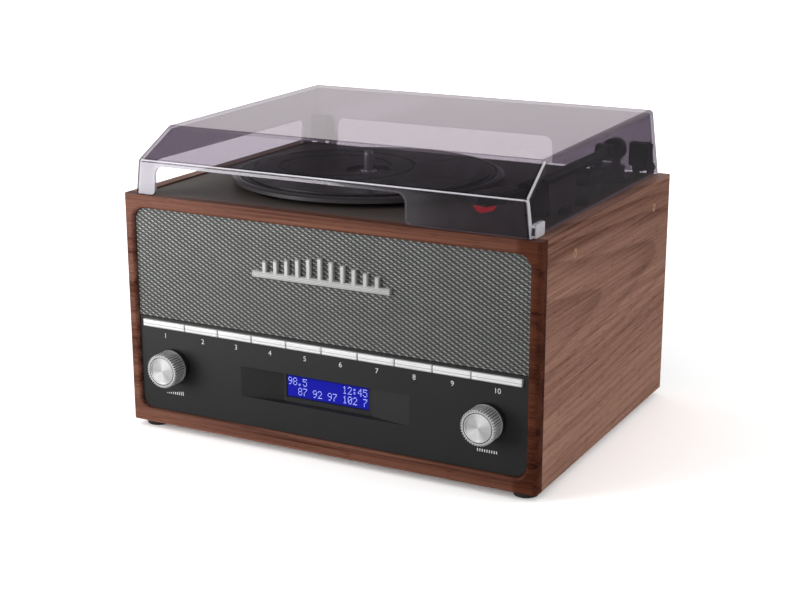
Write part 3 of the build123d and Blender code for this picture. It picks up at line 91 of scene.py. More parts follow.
# Buttons, and the print on the panel
BUTTON_GROOVES = (1.55 * MM, 3.3 * MM)
BUTTON_GROOVE_WIDTH = 0.28 * MM
PRINT_LIFT = 0.02 * MM
FIGURE_LEVEL = 66 * MM
CAPITAL_SHARE = 0.7
MARKS = 9
MARK_PITCH = 1.7 * MM
MARK_WIDTH = 0.7 * MM
MARK_HEIGHT = 2 * MM
WEDGE_START = 0.7 * MM
WEDGE_RISE = 0.3 * MM
MARK_DROP = 9.3 * MM

# Knobs: dark back ring, partly a black collar and partly painted shade, rounded edge, rim round the face, and
# the groove between rim and face, in painted shade
KNOB_COLLAR = 2.8 * MM
KNOB_CHAMFER = 0.5 * MM
KNOB_CREASE = 28
KNOB_RIM = 0.54 * MM
KNOB_GROOVE_DEPTH = 0.6 * MM
KNOB_FACE_GAP = 0.02 * MM

# Display: half its lit field, the depth of its face, and its dots, places and lines
LIT_HALF_WIDTH = 31 * MM
LIT_HALF_HEIGHT = 6.4 * MM
LIT_FADE = 1.6 * MM
FACE_DEPTH = 1.2 * MM
FACE_FADE = 0.4 * MM
DOT_LIFT = 0.03 * MM
DOT_SIDE = 0.48 * MM
DOT_PITCH = 0.66 * MM
ROW_PITCH = 0.8 * MM
PLACES = 16
PLACE_PITCH = 3.96 * MM
LINE_PITCH = 6.9 * MM
FIRST_DOT_LEFT = 31.2 * MM
FIRST_DOT_RISE = 6.1 * MM

# Platter mat
MAT_RINGS = (12 * MM, 41 * MM, 59 * MM, 74 * MM, 88 * MM)
MAT_SPOKES = 12

# Waves in the finishes, in radians a metre
MAT_RIBS = 5200
TURNING_MARKS = 9000
TRACKS_ACROSS = 1500
TRACKS_ALONG = 1100

# Dust cover: the materials of its faces, in the order of their slots, and what tells the faces apart
WALL, CUT, BEND, CREST, LIP = range(5)
FLAT_AREA = 0.0012
CUT_LEVEL = 30 * MM
CUT_FRONT = 8 * MM
CUT_BACK = 4 * MM
CUT_SIDE = 6 * MM
CORNER_REACH = 5 * MM
LIP_DEPTH = 1 * MM
SLOPE_REACH = 34 * MM

# Studio: the pool of light on the floor, how far the floor reaches, and where the lamps look
POOL_MIDDLE = (-0.75, -0.75, 0)
POOL_CORE = 0.10
POOL_REACH = 0.62
FLOOR_REACH = 6
LAMP_TARGET = Vector((0, 0, 0.1))


def colour(name, text, default):
    """A colour that a user can change, as plain linear values."""
    return FloatVectorProperty(
        name=name, description=text, subtype="COLOR", size=3, min=0, max=1, default=default
    )


def length(name, text, default):
    """A length that a user can change, in metres."""
    return FloatProperty(name=name, description=text, subtype="DISTANCE", unit="LENGTH", default=default)


def share(name, text, default):
    """A share from 0 to 1 that a user can change."""
    return FloatProperty(name=name, description=text, subtype="FACTOR", min=0, max=1, default=default)


def angle(name, text, default):
    """An angle that a user can change, given in degrees."""
    return FloatProperty(name=name, description=text, unit="ROTATION", default=radians(default))


def power(name, text, default):
    """A lamp's power that a user can change, in watts."""
    return FloatProperty(name=name, description=text, unit="POWER", default=default, min=0)


class CabinetLooks(bpy.types.PropertyGroup):
    """Colours of the wrapped boards"""

    # Painted light: the side boards' colours are a paler copy of the front frame's walnut, as the side is lit
    # more than the front
    side_light: colour("Side, light", "Pale grain of the side boards", (0.435, 0.236, 0.172))
    side_dark: colour("Side, dark", "Dark grain of the side boards", (0.105, 0.034, 0.020))
    front_light: colour("Front, light", "Pale grain of the front frame", (0.265, 0.118, 0.080))
    front_dark: colour("Front, dark", "Dark grain of the front frame", (0.058, 0.014, 0.008))
    # Painted shade: what each colour of the front frame is multiplied by towards its right end and on its
    # right stile
    shaded: colour("Shaded end", "What is left of each colour at the right stile", (0.40, 0.25, 0.17))
    copper: colour("Screws", "Copper of the side screws", (0.80, 0.45, 0.30))


class GrilleLooks(bpy.types.PropertyGroup):
    """Weave of the grille cloth"""

    thread: colour("Thread", "Silver grey of the raised threads", (0.45, 0.46, 0.44))
    gap: colour("Gap", "Dark between the threads", (0.016, 0.018, 0.017))
    across: length("Thread spacing across", "From one raised thread to the next in its row", 5.6 * MM)
    upward: length("Thread spacing upwards", "From one row of threads to the next", 1.65 * MM)


class FrontLooks(bpy.types.PropertyGroup):
    """Control panel, buttons and knobs"""

    panel: colour("Panel", "Black of the control panel", (0.010, 0.010, 0.010))
    print_white: colour("Figures", "White of the printed figures", (0.80, 0.80, 0.80))
    figure_size: length("Figure size", "Height of the printed figures", 3.6 * MM)
    button: colour("Buttons", "Silver of the push buttons", (1.0, 1.0, 1.0))
    teeth: IntProperty(name="Knob teeth", description="Teeth round each knob", default=40, min=12, max=90)
    tooth_depth: length("Tooth depth", "Depth of the knob's grooves", 0.9 * MM)
    knob: colour("Knob", "Metal of the knobs", (0.86, 0.86, 0.86))


class DisplayLooks(bpy.types.PropertyGroup):
    """Lit display"""

    glow: colour("Glow", "Lit blue behind the figures", (0.001, 0.002, 0.27))
    figures: colour("Figures", "Pale blue of the figures", (0.42, 0.48, 0.92))
    upper: StringProperty(
        name="Upper line", description="Plain figures, 16 places", default="98.5       12:45"
    )
    lower: StringProperty(
        name="Lower line", description="Plain figures, 16 places", default="  87 92 97 102 7"
    )


class CoverLooks(bpy.types.PropertyGroup):
    """Smoked clear cover"""

    tint: colour("Tint", "What one surface of the smoked wall lets through", (0.56, 0.525, 0.57))
    # Painted light: the pale colour of the cut edges and of the highlight lines along the bends
    rim: colour("Rim", "Pale lilac of the cut edges", (0.92, 0.90, 0.95))
    sheen: share("Sheen", "Reflection at a square look", 0.04)


class StudioSettings(bpy.types.PropertyGroup):
    """Camera, lamps and floor"""

    lens: FloatProperty(
        name="Lens", description="Focal length on a 36 mm wide sensor", unit="CAMERA", default=70.5
    )
    place: FloatVectorProperty(
        name="Camera place", description="Where the camera stands", subtype="XYZ", unit="LENGTH",
        default=(0.5172, -0.9901, 0.4015),
    )
    turn: angle("Turn", "Camera's turn to the left", 27.70)
    dip: angle("Dip", "Camera's look below level", 15.79)
    fill: FloatProperty(name="Fill", description="Light from all round", default=0.48, min=0)
    key: power("Key", "Power of the main lamp", 9.5)
    side: power("Side", "Power of the right lamp", 8.0)
    glint: power("Glint", "Power of the small lamp", 2.0)
    front: power("Front", "Power of the low lamp in front", 3.9)


class Wire:
    """A node's output, with arithmetic that adds Math nodes."""

    def __init__(self, finish, socket):
        self.finish = finish
        self.socket = socket

    def __add__(self, other):
        return self.finish.sum("ADD", self, other)

    def __sub__(self, other):
        return self.finish.sum("SUBTRACT", self, other)

    def __rsub__(self, other):
        return self.finish.sum("SUBTRACT", other, self)

    def __mul__(self, other):
        return self.finish.sum("MULTIPLY", self, other)

    def __truediv__(self, other):
        return self.finish.sum("DIVIDE", self, other)

    def __pow__(self, other):
        return self.finish.sum("POWER", self, other)

    def __mod__(self, other):
        return self.finish.sum("FLOORED_MODULO", self, other)

    def __lt__(self, other):
        return self.finish.sum("LESS_THAN", self, other)

    def __gt__(self, other):
        return self.finish.sum("GREATER_THAN", self, other)

    __radd__ = __add__
    __rmul__ = __mul__


class Finish:
    """The nodes of one material or of the world."""

    def __init__(self, owner, output="ShaderNodeOutputMaterial"):
        self.owner = owner
        owner.use_nodes = True
        self.tree = owner.node_tree
        self.tree.nodes.clear()
        self.end = self.tree.nodes.new(output)
        self.spot = None

    def node(self, kind, settings=None, sockets=None, output=0):
        """Add a node, set its own settings first, then its sockets, and give one output."""
        made = self.tree.nodes.new(kind)
        for key, value in (settings or {}).items():
            if key == "stops":
                self.set_stops(made.color_ramp, value)
            else:
                setattr(made, key, value)
        for key, value in (sockets or {}).items():
            if isinstance(value, Wire):
                self.tree.links.new(value.socket, made.inputs[key])
            else:
                made.inputs[key].default_value = value
        return Wire(self, made.outputs[output])

    def set_stops(self, ramp, stops):
        """Give a ramp its places and colours."""
        while len(ramp.elements) < len(stops):
            ramp.elements.new(1.0)
        for element, (place, shade) in zip(ramp.elements, stops):
            element.position = place
            element.color = solid(shade)

    def sum(self, operation, *values):
        """One Math node."""
        return self.node("ShaderNodeMath", {"operation": operation}, dict(enumerate(values)))

    def at(self, scale=(1, 1, 1), turn=(0, 0, 0), middle=(0, 0, 0)):
        """The place on the object, centred, turned and stretched."""
        if self.spot is None:
            self.spot = self.node("ShaderNodeTexCoord", output="Object")
        moved = self.node("ShaderNodeMapping", {}, {"Vector": self.spot, "Location": [-c for c in middle]})
        turned = self.node("ShaderNodeMapping", {}, {"Vector": moved, "Rotation": turn})
        return self.node("ShaderNodeMapping", {}, {"Vector": turned, "Scale": scale})

    def axes(self, vector):
        """The three numbers of a place."""
        split = self.tree.nodes.new("ShaderNodeSeparateXYZ")
        self.tree.links.new(vector.socket, split.inputs[0])
        return [Wire(self, output) for output in split.outputs]

    def noise(self, vector, scale=1.0, detail=2.0, rough=0.5, warp=0.0):
        """Cloudy noise from 0 to 1."""
        return self.node(
            "ShaderNodeTexNoise",
            {},
            {"Vector": vector, "Scale": scale, "Detail": detail, "Roughness": rough, "Distortion": warp},
        )

    def ramp(self, value, *stops):
        """Colours that follow a number."""
        return self.node("ShaderNodeValToRGB", {"stops": stops}, {0: value})

    def soft_step(self, value, low, high):
        """A smooth rise from 0 at low to 1 at high."""
        return self.node(
            "ShaderNodeMapRange",
            {"interpolation_type": "SMOOTHSTEP"},
            {"Value": value, "From Min": low, "From Max": high},
        )

    def mix(self, factor, first, second, blend="MIX"):
        """One colour turning into another, or laid over it."""
        settings = {"data_type": "RGBA", "blend_type": blend}
        return self.node("ShaderNodeMix", settings, {0: factor, 6: first, 7: second}, output=2)

    def lines(self, value, places, width):
        """1 on thin lines, where a number passes the given places."""
        marks = []
        for place in places:
            gap = self.sum("ABSOLUTE", value - place)
            marks.append(1.0 - self.soft_step(gap, width * 0.4, width))
        total = marks[0]
        for mark in marks[1:]:
            total = self.sum("MAXIMUM", total, mark)
        return total

    def bump(self, height, depth, strength=1.0):
        """A relief of a real depth in metres."""
        return self.node("ShaderNodeBump", {}, {"Height": height, "Distance": depth, "Strength": strength})

    def surface(self, **sockets):
        """A plain shader with these sockets, given to the output."""
        named = {key.replace("_", " "): value for key, value in sockets.items()}
        self.close(self.node("ShaderNodeBsdfPrincipled", {}, named))
        return self.owner

    def close(self, shader):
        """Give a shader to the output."""
        self.tree.links.new(shader.socket, self.end.inputs["Surface"])


def solid(shade):
    """A colour with full cover."""
    return (*tuple(shade)[:3], 1.0)


def new_finish(name):
    """The nodes of a new material."""
    return Finish(bpy.data.materials.new(name))


def dress(material, *names):
    """Give CAD nodes a material."""
    for name in names:
        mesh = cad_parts[name].data
        if not mesh.materials:
            mesh.materials.append(material)
        for i in range(len(mesh.materials)):
            mesh.materials[i] = material


def make_piece(name, shape, body, *materials, finish=None, stands_for=(), crease=CREASE):
    """Turn a finished bmesh into a piece that rides on a body, with its own sharp edges if crease is None."""
    mesh = bpy.data.meshes.new(name)
    sharp = [not edge.smooth for edge in shape.edges]
    shape.to_mesh(mesh)
    shape.free()
    mesh.shade_smooth()
    if crease:
        mesh.set_sharp_from_angle(angle=radians(crease))
    else:
        mesh.attributes["sharp_edge"].data.foreach_set("value", sharp)
    for material in materials:
        mesh.materials.append(material)
    made = bpy.data.objects.new(name, mesh)
    bpy.context.scene.collection.objects.link(made)
    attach(made, body)
    if stands_for:
        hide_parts(*stands_for)
    return made


def upright(place):
    """The turn that stands a flat shape up to face the front, with its middle on a place."""
    return Matrix.Translation(place) @ Matrix.Rotation(pi / 2, 4, "X")


def add_strip(shape, width, height, place):
    """A flat upright strip, centred on a place."""
    stretched = upright(place) @ Matrix.Diagonal((width, height, 1, 1))
    bmesh.ops.create_grid(shape, x_segments=1, y_segments=1, size=0.5, matrix=stretched)


def add_figures(shape, text, size, place):
    """Flat upright figures of a given height, centred on a place."""
    letters = bpy.data.curves.new("figures", "FONT")
    letters.body = text
    letters.size = size / CAPITAL_SHARE
    letters.align_x = "CENTER"
    letters.align_y = "CENTER"
    holder = bpy.data.objects.new("figures", letters)
    bpy.context.scene.collection.objects.link(holder)
    flat = bpy.data.meshes.new_from_object(holder)
    bpy.data.objects.remove(holder)
    flat.transform(upright(place))
    shape.from_mesh(flat)
    bpy.data.meshes.remove(flat)


# Finishes


def walnut(name, light, dark, grain, rings, contrast=1.25, shaded=None, heart=None):
    """Walnut-look wrap with its grain along one axis, with painted shade darker towards the right end, or
    with arches round a heart's level and painted light lighter towards the bottom.
    """
    finish = new_finish(name)
    along = "xyz".index(grain)

    def stretch(run, cross):
        """The pattern's scale, along and across the grain."""
        return tuple(run if i == along else cross for i in range(3))

    contour = finish.noise(finish.at(stretch(rings["run"], rings["cross"])), detail=2, rough=0.30, warp=0.15)
    year = contour * rings["count"]
    if heart:
        _, y, z = finish.axes(finish.at())
        rise = z - heart
        year = year + rise * rise * ARCH_BEND + y * ARCH_RUN
    year = year % 1.0
    late = finish.soft_step(year, rings["start"], DARKEST) * (1.0 - finish.soft_step(year, DARKEST, 1.0))
    fibres = finish.noise(finish.at(stretch(7, 620)), detail=3, rough=0.65)
    streaks = finish.noise(finish.at(stretch(2.4, 90)), detail=3, rough=0.6)
    pores = finish.soft_step(finish.noise(finish.at(stretch(75, 1500)), detail=1), 0.60, 0.70)
    figure = 0.62 - late * rings["depth"] + (fibres - 0.5) * contrast + (streaks - 0.5) * (contrast * 0.88)
    # Painted light: the side boards lighter towards the bottom and darker towards the top, as the floor
    # lights their lower part
    if heart:
        figure = figure + (0.5 - finish.soft_step(z, UNDERSIDE, DECK_TOP)) * 0.30
    middle = [(a + b) / 2 for a, b in zip(light, dark)]
    shade = finish.ramp(figure, (0.10, dark), (0.46, middle), (0.82, light))
    shade = finish.mix(pores * 0.45, shade, solid([c * 0.5 for c in dark]))
    # Painted shade: the front frame darker towards the right and darker again on its right stile, where less
    # light falls
    if shaded:
        x = finish.axes(finish.at())[0]
        painted_shade_share = finish.soft_step(x, FRAME_LOW.x, FRAME_HIGH.x) * 0.55
        stile = FRAME_HIGH.x - STILE_WIDTH
        painted_shade_share = painted_shade_share + finish.soft_step(x, stile - STILE_BLEND, stile) * 0.4
        shade = finish.mix(painted_shade_share, shade, solid(shaded), blend="MULTIPLY")
    return finish.surface(
        Base_Color=shade,
        Roughness=0.50 - figure * 0.14,
        Specular_IOR_Level=0.08,
        Normal=finish.bump(fibres * 0.6 - pores, 0.00006, 0.6),
    )


def moulded(name, shade, rough=0.45, grain=1400, depth=0.00003, variation=0.12, **more):
    """Moulded plastic or rubber with a fine grain."""
    finish = new_finish(name)
    speckle = finish.noise(finish.at(), scale=grain, detail=2)
    drift = finish.noise(finish.at(), scale=18, detail=3)
    darker = [c * (1 - variation) for c in shade]
    lighter = [min(1, c * (1 + variation)) for c in shade]
    return finish.surface(
        Base_Color=finish.mix(drift, solid(darker), solid(lighter)),
        Roughness=drift * 0.1 + (rough - 0.05),
        Normal=finish.bump(speckle, depth, 0.6),
        **more,
    )


def metal(name, shade, rough=0.28, run=(1, 1, 1), depth=0.00001, grooves=(), width=0.0, shine=0.9):
    """Plated or turned metal with fine marks along one direction, and level grooves at given heights in
    painted shade.
    """
    finish = new_finish(name)
    marks = finish.noise(finish.at(run), scale=600, detail=2)
    worn = finish.noise(finish.at(), scale=60, detail=3)
    colour_now = finish.mix(worn, solid([c * 0.86 for c in shade]), solid(shade))
    relief = marks * 0.1
    if grooves:
        cut = finish.lines(finish.axes(finish.at())[2], grooves, width)
        # Painted shade: the grooves are darkened in colour as well as sunk in the relief
        colour_now = finish.mix(cut * 0.7, colour_now, solid([c * 0.25 for c in shade]))
        relief = relief - cut
        depth = width / 2
    return finish.surface(
        Base_Color=colour_now,
        Metallic=shine,
        Roughness=marks * 0.12 + (rough - 0.04),
        Normal=finish.bump(relief, depth, 0.5),
    )


def woven_cloth(looks):
    """Silver-grey basket weave: short raised threads, a little tilted, over a dark ground."""
    finish = new_finish("woven_grille_cloth")
    x, _, z = finish.axes(finish.at(middle=((CLOTH_LOW.x + CLOTH_HIGH.x) / 2, 0, CLOTH_LOW.z)))
    rows = z / looks.upward
    cells = x / looks.across + (finish.sum("FLOOR", rows) % 2.0) * 0.5
    along = ((cells % 1.0) - 0.5) * 4.0
    rise = ((rows % 1.0) - 0.5) * 2.0
    tilted = rise + along * THREAD_TILT
    raised = 1.0 - finish.soft_step(along * along * 0.70 + tilted * tilted * 1.7, 0.20, 1.20)
    between = ((cells + 0.5) % 1.0 - 0.5) * 4.0
    under = 1.0 - finish.soft_step(between * between + rise * rise, 0.1, 1.3)
    strand = finish.noise(finish.at((900, 900, 2600)), detail=2)
    patch = finish.noise(finish.at((70, 70, 90)), detail=2)
    lit = (raised + under * 0.14) * (strand * 0.8 + 0.5) * (patch * 0.5 + 0.72)
    return finish.surface(
        Base_Color=finish.mix(lit, solid(looks.gap), solid(looks.thread)),
        Roughness=0.50 - raised * 0.12,
        Metallic=raised * 0.45,
        Normal=finish.bump(raised + strand * 0.2, 0.0003, 0.8),
    )


def ribbed_rubber(name, shade, centre, rings, spokes):
    """Rubber mat with fine ribs, and raised rings, thin spokes between two rings and short marks by the edge
    in painted shade, with a painted highlight beside each ring.
    """
    finish = new_finish(name)
    x, y, _ = finish.axes(finish.at(middle=centre))
    radius = (x * x + y * y) ** 0.5
    turn = finish.sum("ARCTAN2", y, x) / (2 * pi) + 0.5
    ribs = finish.sum("SINE", radius * MAT_RIBS) * 0.5 + 0.5
    ring = finish.lines(radius, rings, 1.1 * MM)

    def outward(count, width):
        """1 on thin lines that run outwards, a given number of them round the mat."""
        gap = finish.sum("ABSOLUTE", (turn * count % 1.0) - 0.5) * radius * (2 * pi / count)
        return 1.0 - finish.soft_step(gap, width, width + 0.5 * MM)

    spoke = outward(spokes, 0.3 * MM) * (radius > rings[0]) * (radius < rings[-1])
    mark = outward(spokes * 3, 0.5 * MM) * (radius > rings[-1] + 5 * MM) * (radius < rings[-1] + 12 * MM)
    # Painted shade: the rings, spokes and marks darkened in colour as well as sunk in the relief
    dark = finish.sum("MAXIMUM", finish.sum("MAXIMUM", ring, spoke), mark)
    dust = finish.noise(finish.at(), scale=900, detail=3)
    # Painted highlight: a pale line just outside each ring
    painted_ring_highlight = finish.lines(radius, [place + 1.4 * MM for place in rings], 1.0 * MM)
    tone = (ribs * 0.5 + dust * 0.4 + painted_ring_highlight * 0.7) * (1.0 - dark)
    return finish.surface(
        Base_Color=finish.mix(tone, solid([c * 0.35 for c in shade]), solid([c * 1.5 for c in shade])),
        Roughness=dust * 0.12 + 0.34,
        Normal=finish.bump(ribs * 0.25 - dark, 0.0004, 0.7),
    )


def spun_metal(name, shade, centre):
    """Turned metal face: fine rings, and painted highlights in wedges, like the light that a turned face
    shows.
    """
    finish = new_finish(name)
    x, _, z = finish.axes(finish.at(middle=centre))
    radius = (x * x + z * z) ** 0.5
    turn = finish.sum("ARCTAN2", z, x)
    # Painted highlight: bright and dark wedges round the centre, painted in the colour
    painted_wedge = finish.soft_step(finish.sum("SINE", turn * 2 - 0.7), -0.7, 0.8)
    painted_wedge = painted_wedge * 0.8 + (finish.sum("SINE", turn * 5 + 2.0) * 0.5 + 0.5) * 0.2
    rings = finish.sum("SINE", radius * TURNING_MARKS) * 0.5 + 0.5
    darker = [c * 0.60 for c in shade]
    lighter = [min(1, c * 1.25) for c in shade]
    return finish.surface(
        Base_Color=finish.mix(painted_wedge, solid(darker), solid(lighter)),
        Metallic=0.35,
        Roughness=rings * 0.08 + 0.24,
        Normal=finish.bump(rings, 0.00001, 0.2),
    )


def circuit(name):
    """Green board with its tracks paler and raised under the lacquer."""
    finish = new_finish(name)
    x, y, z = finish.axes(finish.at())
    tracks = finish.sum("SINE", x * TRACKS_ACROSS) * finish.sum("SINE", (y + z) * TRACKS_ALONG)
    mask = finish.soft_step(tracks, 0.35, 0.45)
    return finish.surface(
        Base_Color=finish.mix(mask, solid((0.012, 0.085, 0.035)), solid((0.03, 0.17, 0.07))),
        Roughness=0.4 - mask * 0.12,
        Normal=finish.bump(mask, 0.00004, 0.6),
    )


def plain(name, shade, rough=0.4, **more):
    """An even colour with a faint drift of tone, for small figures and inserts."""
    finish = new_finish(name)
    drift = finish.noise(finish.at(), scale=300, detail=2)
    return finish.surface(
        Base_Color=finish.mix(drift, solid([c * 0.9 for c in shade]), solid(shade)), Roughness=rough, **more
    )


# Operators


class RECORD_PLAYER_OT_cabinet(bpy.types.Operator):
    """Dress the wrapped boards, the back, the feet and the screws"""

    bl_idname = "record_player.cabinet"
    bl_label = "Cabinet"

    def execute(self, context):
        looks = context.scene.record_player_cabinet
        pale, dark = looks.front_light, looks.front_dark
        # The front frame gets painted shade towards its right end
        front = walnut("walnut_front", pale, dark, "x", FRONT_RINGS, shaded=looks.shaded)
        dress(front, "cabinet_front_frame")
        dress(walnut("walnut_base", pale, dark, "x", FRONT_RINGS), "cabinet_base")
        pale, dark = looks.side_light, looks.side_dark
        # Painted light: the side boards take the paler copy of the walnut colours
        side = walnut("walnut_side", pale, dark, "y", SIDE_RINGS, contrast=0.85, heart=HEART_LEVEL)
        dress(side, "cabinet_side_left", "cabinet_side_right")
        fibreboard = moulded("back_fibreboard", (0.022, 0.021, 0.020), 0.7, 500, 0.0001)
        dress(fibreboard, "cabinet_back", "speaker_baffle")
        dress(moulded("bare_batten", (0.42, 0.31, 0.20), 0.75, 260, 0.0001), "back_battens")
        dress(moulded("foot_rubber", (0.024, 0.022, 0.021), 0.6, 900), "rubber_feet")
        dress(metal("copper_plate", looks.copper, 0.30, shine=0.5), "side_screws")
        dress(metal("zinc_plate", (0.58, 0.58, 0.60), 0.3), "case_screws")
        return {"FINISHED"}


class RECORD_PLAYER_OT_grille(bpy.types.Operator):
    """Stretch the woven cloth over the baffle and dress the ornament and the speakers"""

    bl_idname = "record_player.grille"
    bl_label = "Grille"

    def execute(self, context):
        looks = context.scene.record_player_grille
        size = CLOTH_HIGH - CLOTH_LOW
        middle = (CLOTH_LOW + CLOTH_HIGH) / 2
        shape = bmesh.new()
        bmesh.ops.create_grid(shape, x_segments=1, y_segments=1, size=0.5)
        bmesh.ops.scale(shape, vec=(size.x, size.z, 1), verts=shape.verts)
        tops = [vert for vert in shape.verts if vert.co.y > 0]
        bmesh.ops.bevel(
            shape, geom=tops, offset=CLOTH_CORNER, segments=10, profile=0.5, affect="VERTICES", material=-1
        )
        bmesh.ops.rotate(shape, matrix=Matrix.Rotation(pi / 2, 3, "X"), verts=shape.verts)
        bmesh.ops.translate(shape, vec=(middle.x, CLOTH_LOW.y, middle.z), verts=shape.verts)
        grown = bmesh.ops.extrude_face_region(shape, geom=shape.faces[:])["geom"]
        moved = [item for item in grown if isinstance(item, bmesh.types.BMVert)]
        bmesh.ops.translate(shape, vec=(0, size.y, 0), verts=moved)
        bmesh.ops.recalc_face_normals(shape, faces=shape.faces)
        cloth = make_piece(
            "grille_cloth_woven", shape, BODY, woven_cloth(looks),
            finish="grille_cloth", stands_for=["grille_cloth"],
        )
        # The ornament's level grooves are in painted shade
        ornament = metal(
            "ornament_plate", (0.66, 0.66, 0.65), 0.30, (1, 30, 30), shine=0.5,
            grooves=[ORNAMENT_UNDERSIDE + rise for rise in ORNAMENT_GROOVES], width=ORNAMENT_GROOVE_WIDTH,
        )
        dress(ornament, "grille_ornament")
        steel = metal("pressed_steel", (0.50, 0.50, 0.52), 0.34)
        dress(steel, "speaker_baskets", "rotary_controls", "drive_motor")
        dress(moulded("magnet_ferrite", (0.05, 0.05, 0.055), 0.6, 700), "speaker_magnets")
        dress(moulded("cone_paper", (0.035, 0.035, 0.035), 0.85, 420, 0.0001), "speaker_cones")
        return {"FINISHED"}


class RECORD_PLAYER_OT_front(bpy.types.Operator):
    """Dress the control panel and the push buttons, and print plain figures under them"""

    bl_idname = "record_player.front"
    bl_label = "Control panel and buttons"

    def execute(self, context):
        looks = context.scene.record_player_front
        panel = moulded("panel_black", looks.panel, 0.46, 1500, 0.00003, Specular_IOR_Level=0.5)
        dress(panel, "control_panel")
        # The buttons' two grooves are in painted shade
        silver = metal(
            "button_silver", looks.button, 0.34, (30, 30, 900), shine=0.12,
            grooves=[BUTTON_UNDERSIDE + rise for rise in BUTTON_GROOVES], width=BUTTON_GROOVE_WIDTH,
        )
        dress(silver, *BUTTONS)
        shape = bmesh.new()
        face = PANEL_FRONT - PRINT_LIFT
        for number, name in enumerate(BUTTONS, 1):
            low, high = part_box(name)
            spot = ((low.x + high.x) / 2, face, UNDERSIDE + FIGURE_LEVEL)
            add_figures(shape, str(number), looks.figure_size, spot)
        self.add_marks(shape, "volume_knob", face, [WEDGE_START + WEDGE_RISE * i for i in range(MARKS)])
        self.add_marks(shape, "tuning_knob", face, [MARK_HEIGHT] * MARKS)
        ink = plain("print_white", looks.print_white, 0.5)
        make_piece("panel_figures", shape, BODY, ink, finish="panel_black")
        return {"FINISHED"}

    def add_marks(self, shape, knob, face, heights):
        """A row of short upright marks under a knob, all on one level."""
        low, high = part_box(knob)
        left = (low.x + high.x) / 2 - (len(heights) - 1) / 2 * MARK_PITCH
        for i, height in enumerate(heights):
            spot = (left + i * MARK_PITCH, face, low.z - MARK_DROP + height / 2)
            add_strip(shape, MARK_WIDTH, height, spot)


class RECORD_PLAYER_OT_knobs(bpy.types.Operator):
    """Turn the two knurled knobs and dress their faces and shafts"""

    bl_idname = "record_player.knobs"
    bl_label = "Knobs"

    def execute(self, context):
        looks = context.scene.record_player_front
        side = metal("knurled_metal", looks.knob, 0.30, (1, 1, 1), 0.00001, shine=0.6)
        # Dark material: the black back collar, partly painted shade, and painted shade in the grooves
        gap = moulded("knob_black_and_painted_shade", (0.02, 0.02, 0.02), 0.5)
        for name in ("volume", "tuning"):
            low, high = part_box(f"{name}_knob")
            cap_low, cap_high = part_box(f"{name}_knob_face")
            centre = Vector(((low.x + high.x) / 2, 0, (low.z + high.z) / 2))
            shape = self.knurled(centre, low, high, cap_low, cap_high, looks)
            make_piece(
                f"{name}_knob_knurled", shape, f"{name}_knob", side, gap,
                finish="knob_metal", stands_for=[f"{name}_knob"], crease=KNOB_CREASE,
            )
            dress(spun_metal(f"spun_face_{name}", (0.95, 0.95, 0.95), centre), f"{name}_knob_face")
        dress(metal("turned_brass", (0.75, 0.58, 0.30), 0.3), "volume_shaft", "tuning_shaft", "encoder_rotor")
        return {"FINISHED"}

    def knurled(self, centre, low, high, cap_low, cap_high, looks):
        """A knob with a dark back ring that is partly its black collar and partly painted shade, grooves
        along its side with painted shade at their bottoms, and a raised rim round its face with a groove in
        painted shade inside it.
        """
        radius = (high.x - low.x) / 2
        seat = (cap_high.x - cap_low.x) / 2 + KNOB_FACE_GAP
        side = high.y - low.y - KNOB_COLLAR - KNOB_CHAMFER
        tooth = looks.tooth_depth
        shape = bmesh.new()
        bmesh.ops.create_circle(shape, cap_ends=True, segments=4 * looks.teeth, radius=radius)
        bmesh.ops.rotate(shape, matrix=Matrix.Rotation(pi / 2, 3, "X"), verts=shape.verts)
        bmesh.ops.translate(shape, vec=(centre.x, high.y, centre.z), verts=shape.verts)
        edges = self.pull(shape, shape.edges[:], centre, -KNOB_COLLAR, radius, black=True)
        edges = self.pull(shape, edges, centre, 0, radius, tooth)
        edges = self.pull(shape, edges, centre, -side, radius, tooth)
        edges = self.pull(
            shape, edges, centre, -KNOB_CHAMFER, radius - KNOB_CHAMFER, tooth - KNOB_CHAMFER * 0.5
        )
        edges = self.pull(shape, edges, centre, 0, seat + KNOB_RIM)
        edges = self.pull(shape, edges, centre, KNOB_GROOVE_DEPTH, seat, black=True)
        bottom = cap_high.y - low.y - KNOB_GROOVE_DEPTH
        edges = self.pull(shape, edges, centre, bottom, seat, black=True)
        bmesh.ops.holes_fill(shape, edges=edges)
        bmesh.ops.recalc_face_normals(shape, faces=shape.faces)
        return shape

    def pull(self, shape, edges, centre, along, radius, tooth=0.0, black=False):
        """Draw an open ring along the knob's axis to a new radius, with two of every four points let in."""
        grown = bmesh.ops.extrude_edge_only(shape, edges=edges)["geom"]
        verts = [item for item in grown if isinstance(item, bmesh.types.BMVert)]
        bmesh.ops.translate(shape, vec=(0, along, 0), verts=verts)
        for vert in verts:
            arm = Vector((vert.co.x - centre.x, 0, vert.co.z - centre.z))
            low = round(atan2(arm.z, arm.x) / (2 * pi) * len(verts)) % 4 in (2, 3)
            arm = arm.normalized() * (radius - (tooth if low else 0))
            vert.co = (centre.x + arm.x, vert.co.y, centre.z + arm.z)
        for item in grown:
            if isinstance(item, bmesh.types.BMFace):
                spot = item.calc_center_median()
                reach = Vector((spot.x - centre.x, spot.z - centre.z)).length
                # Dark material on the black collar, partly painted shade, and painted shade at the bottoms of
                # the grooves
                item.material_index = 1 if black or (tooth and reach < radius - tooth * 0.8) else 0
        return [item for item in grown if isinstance(item, bmesh.types.BMEdge)]


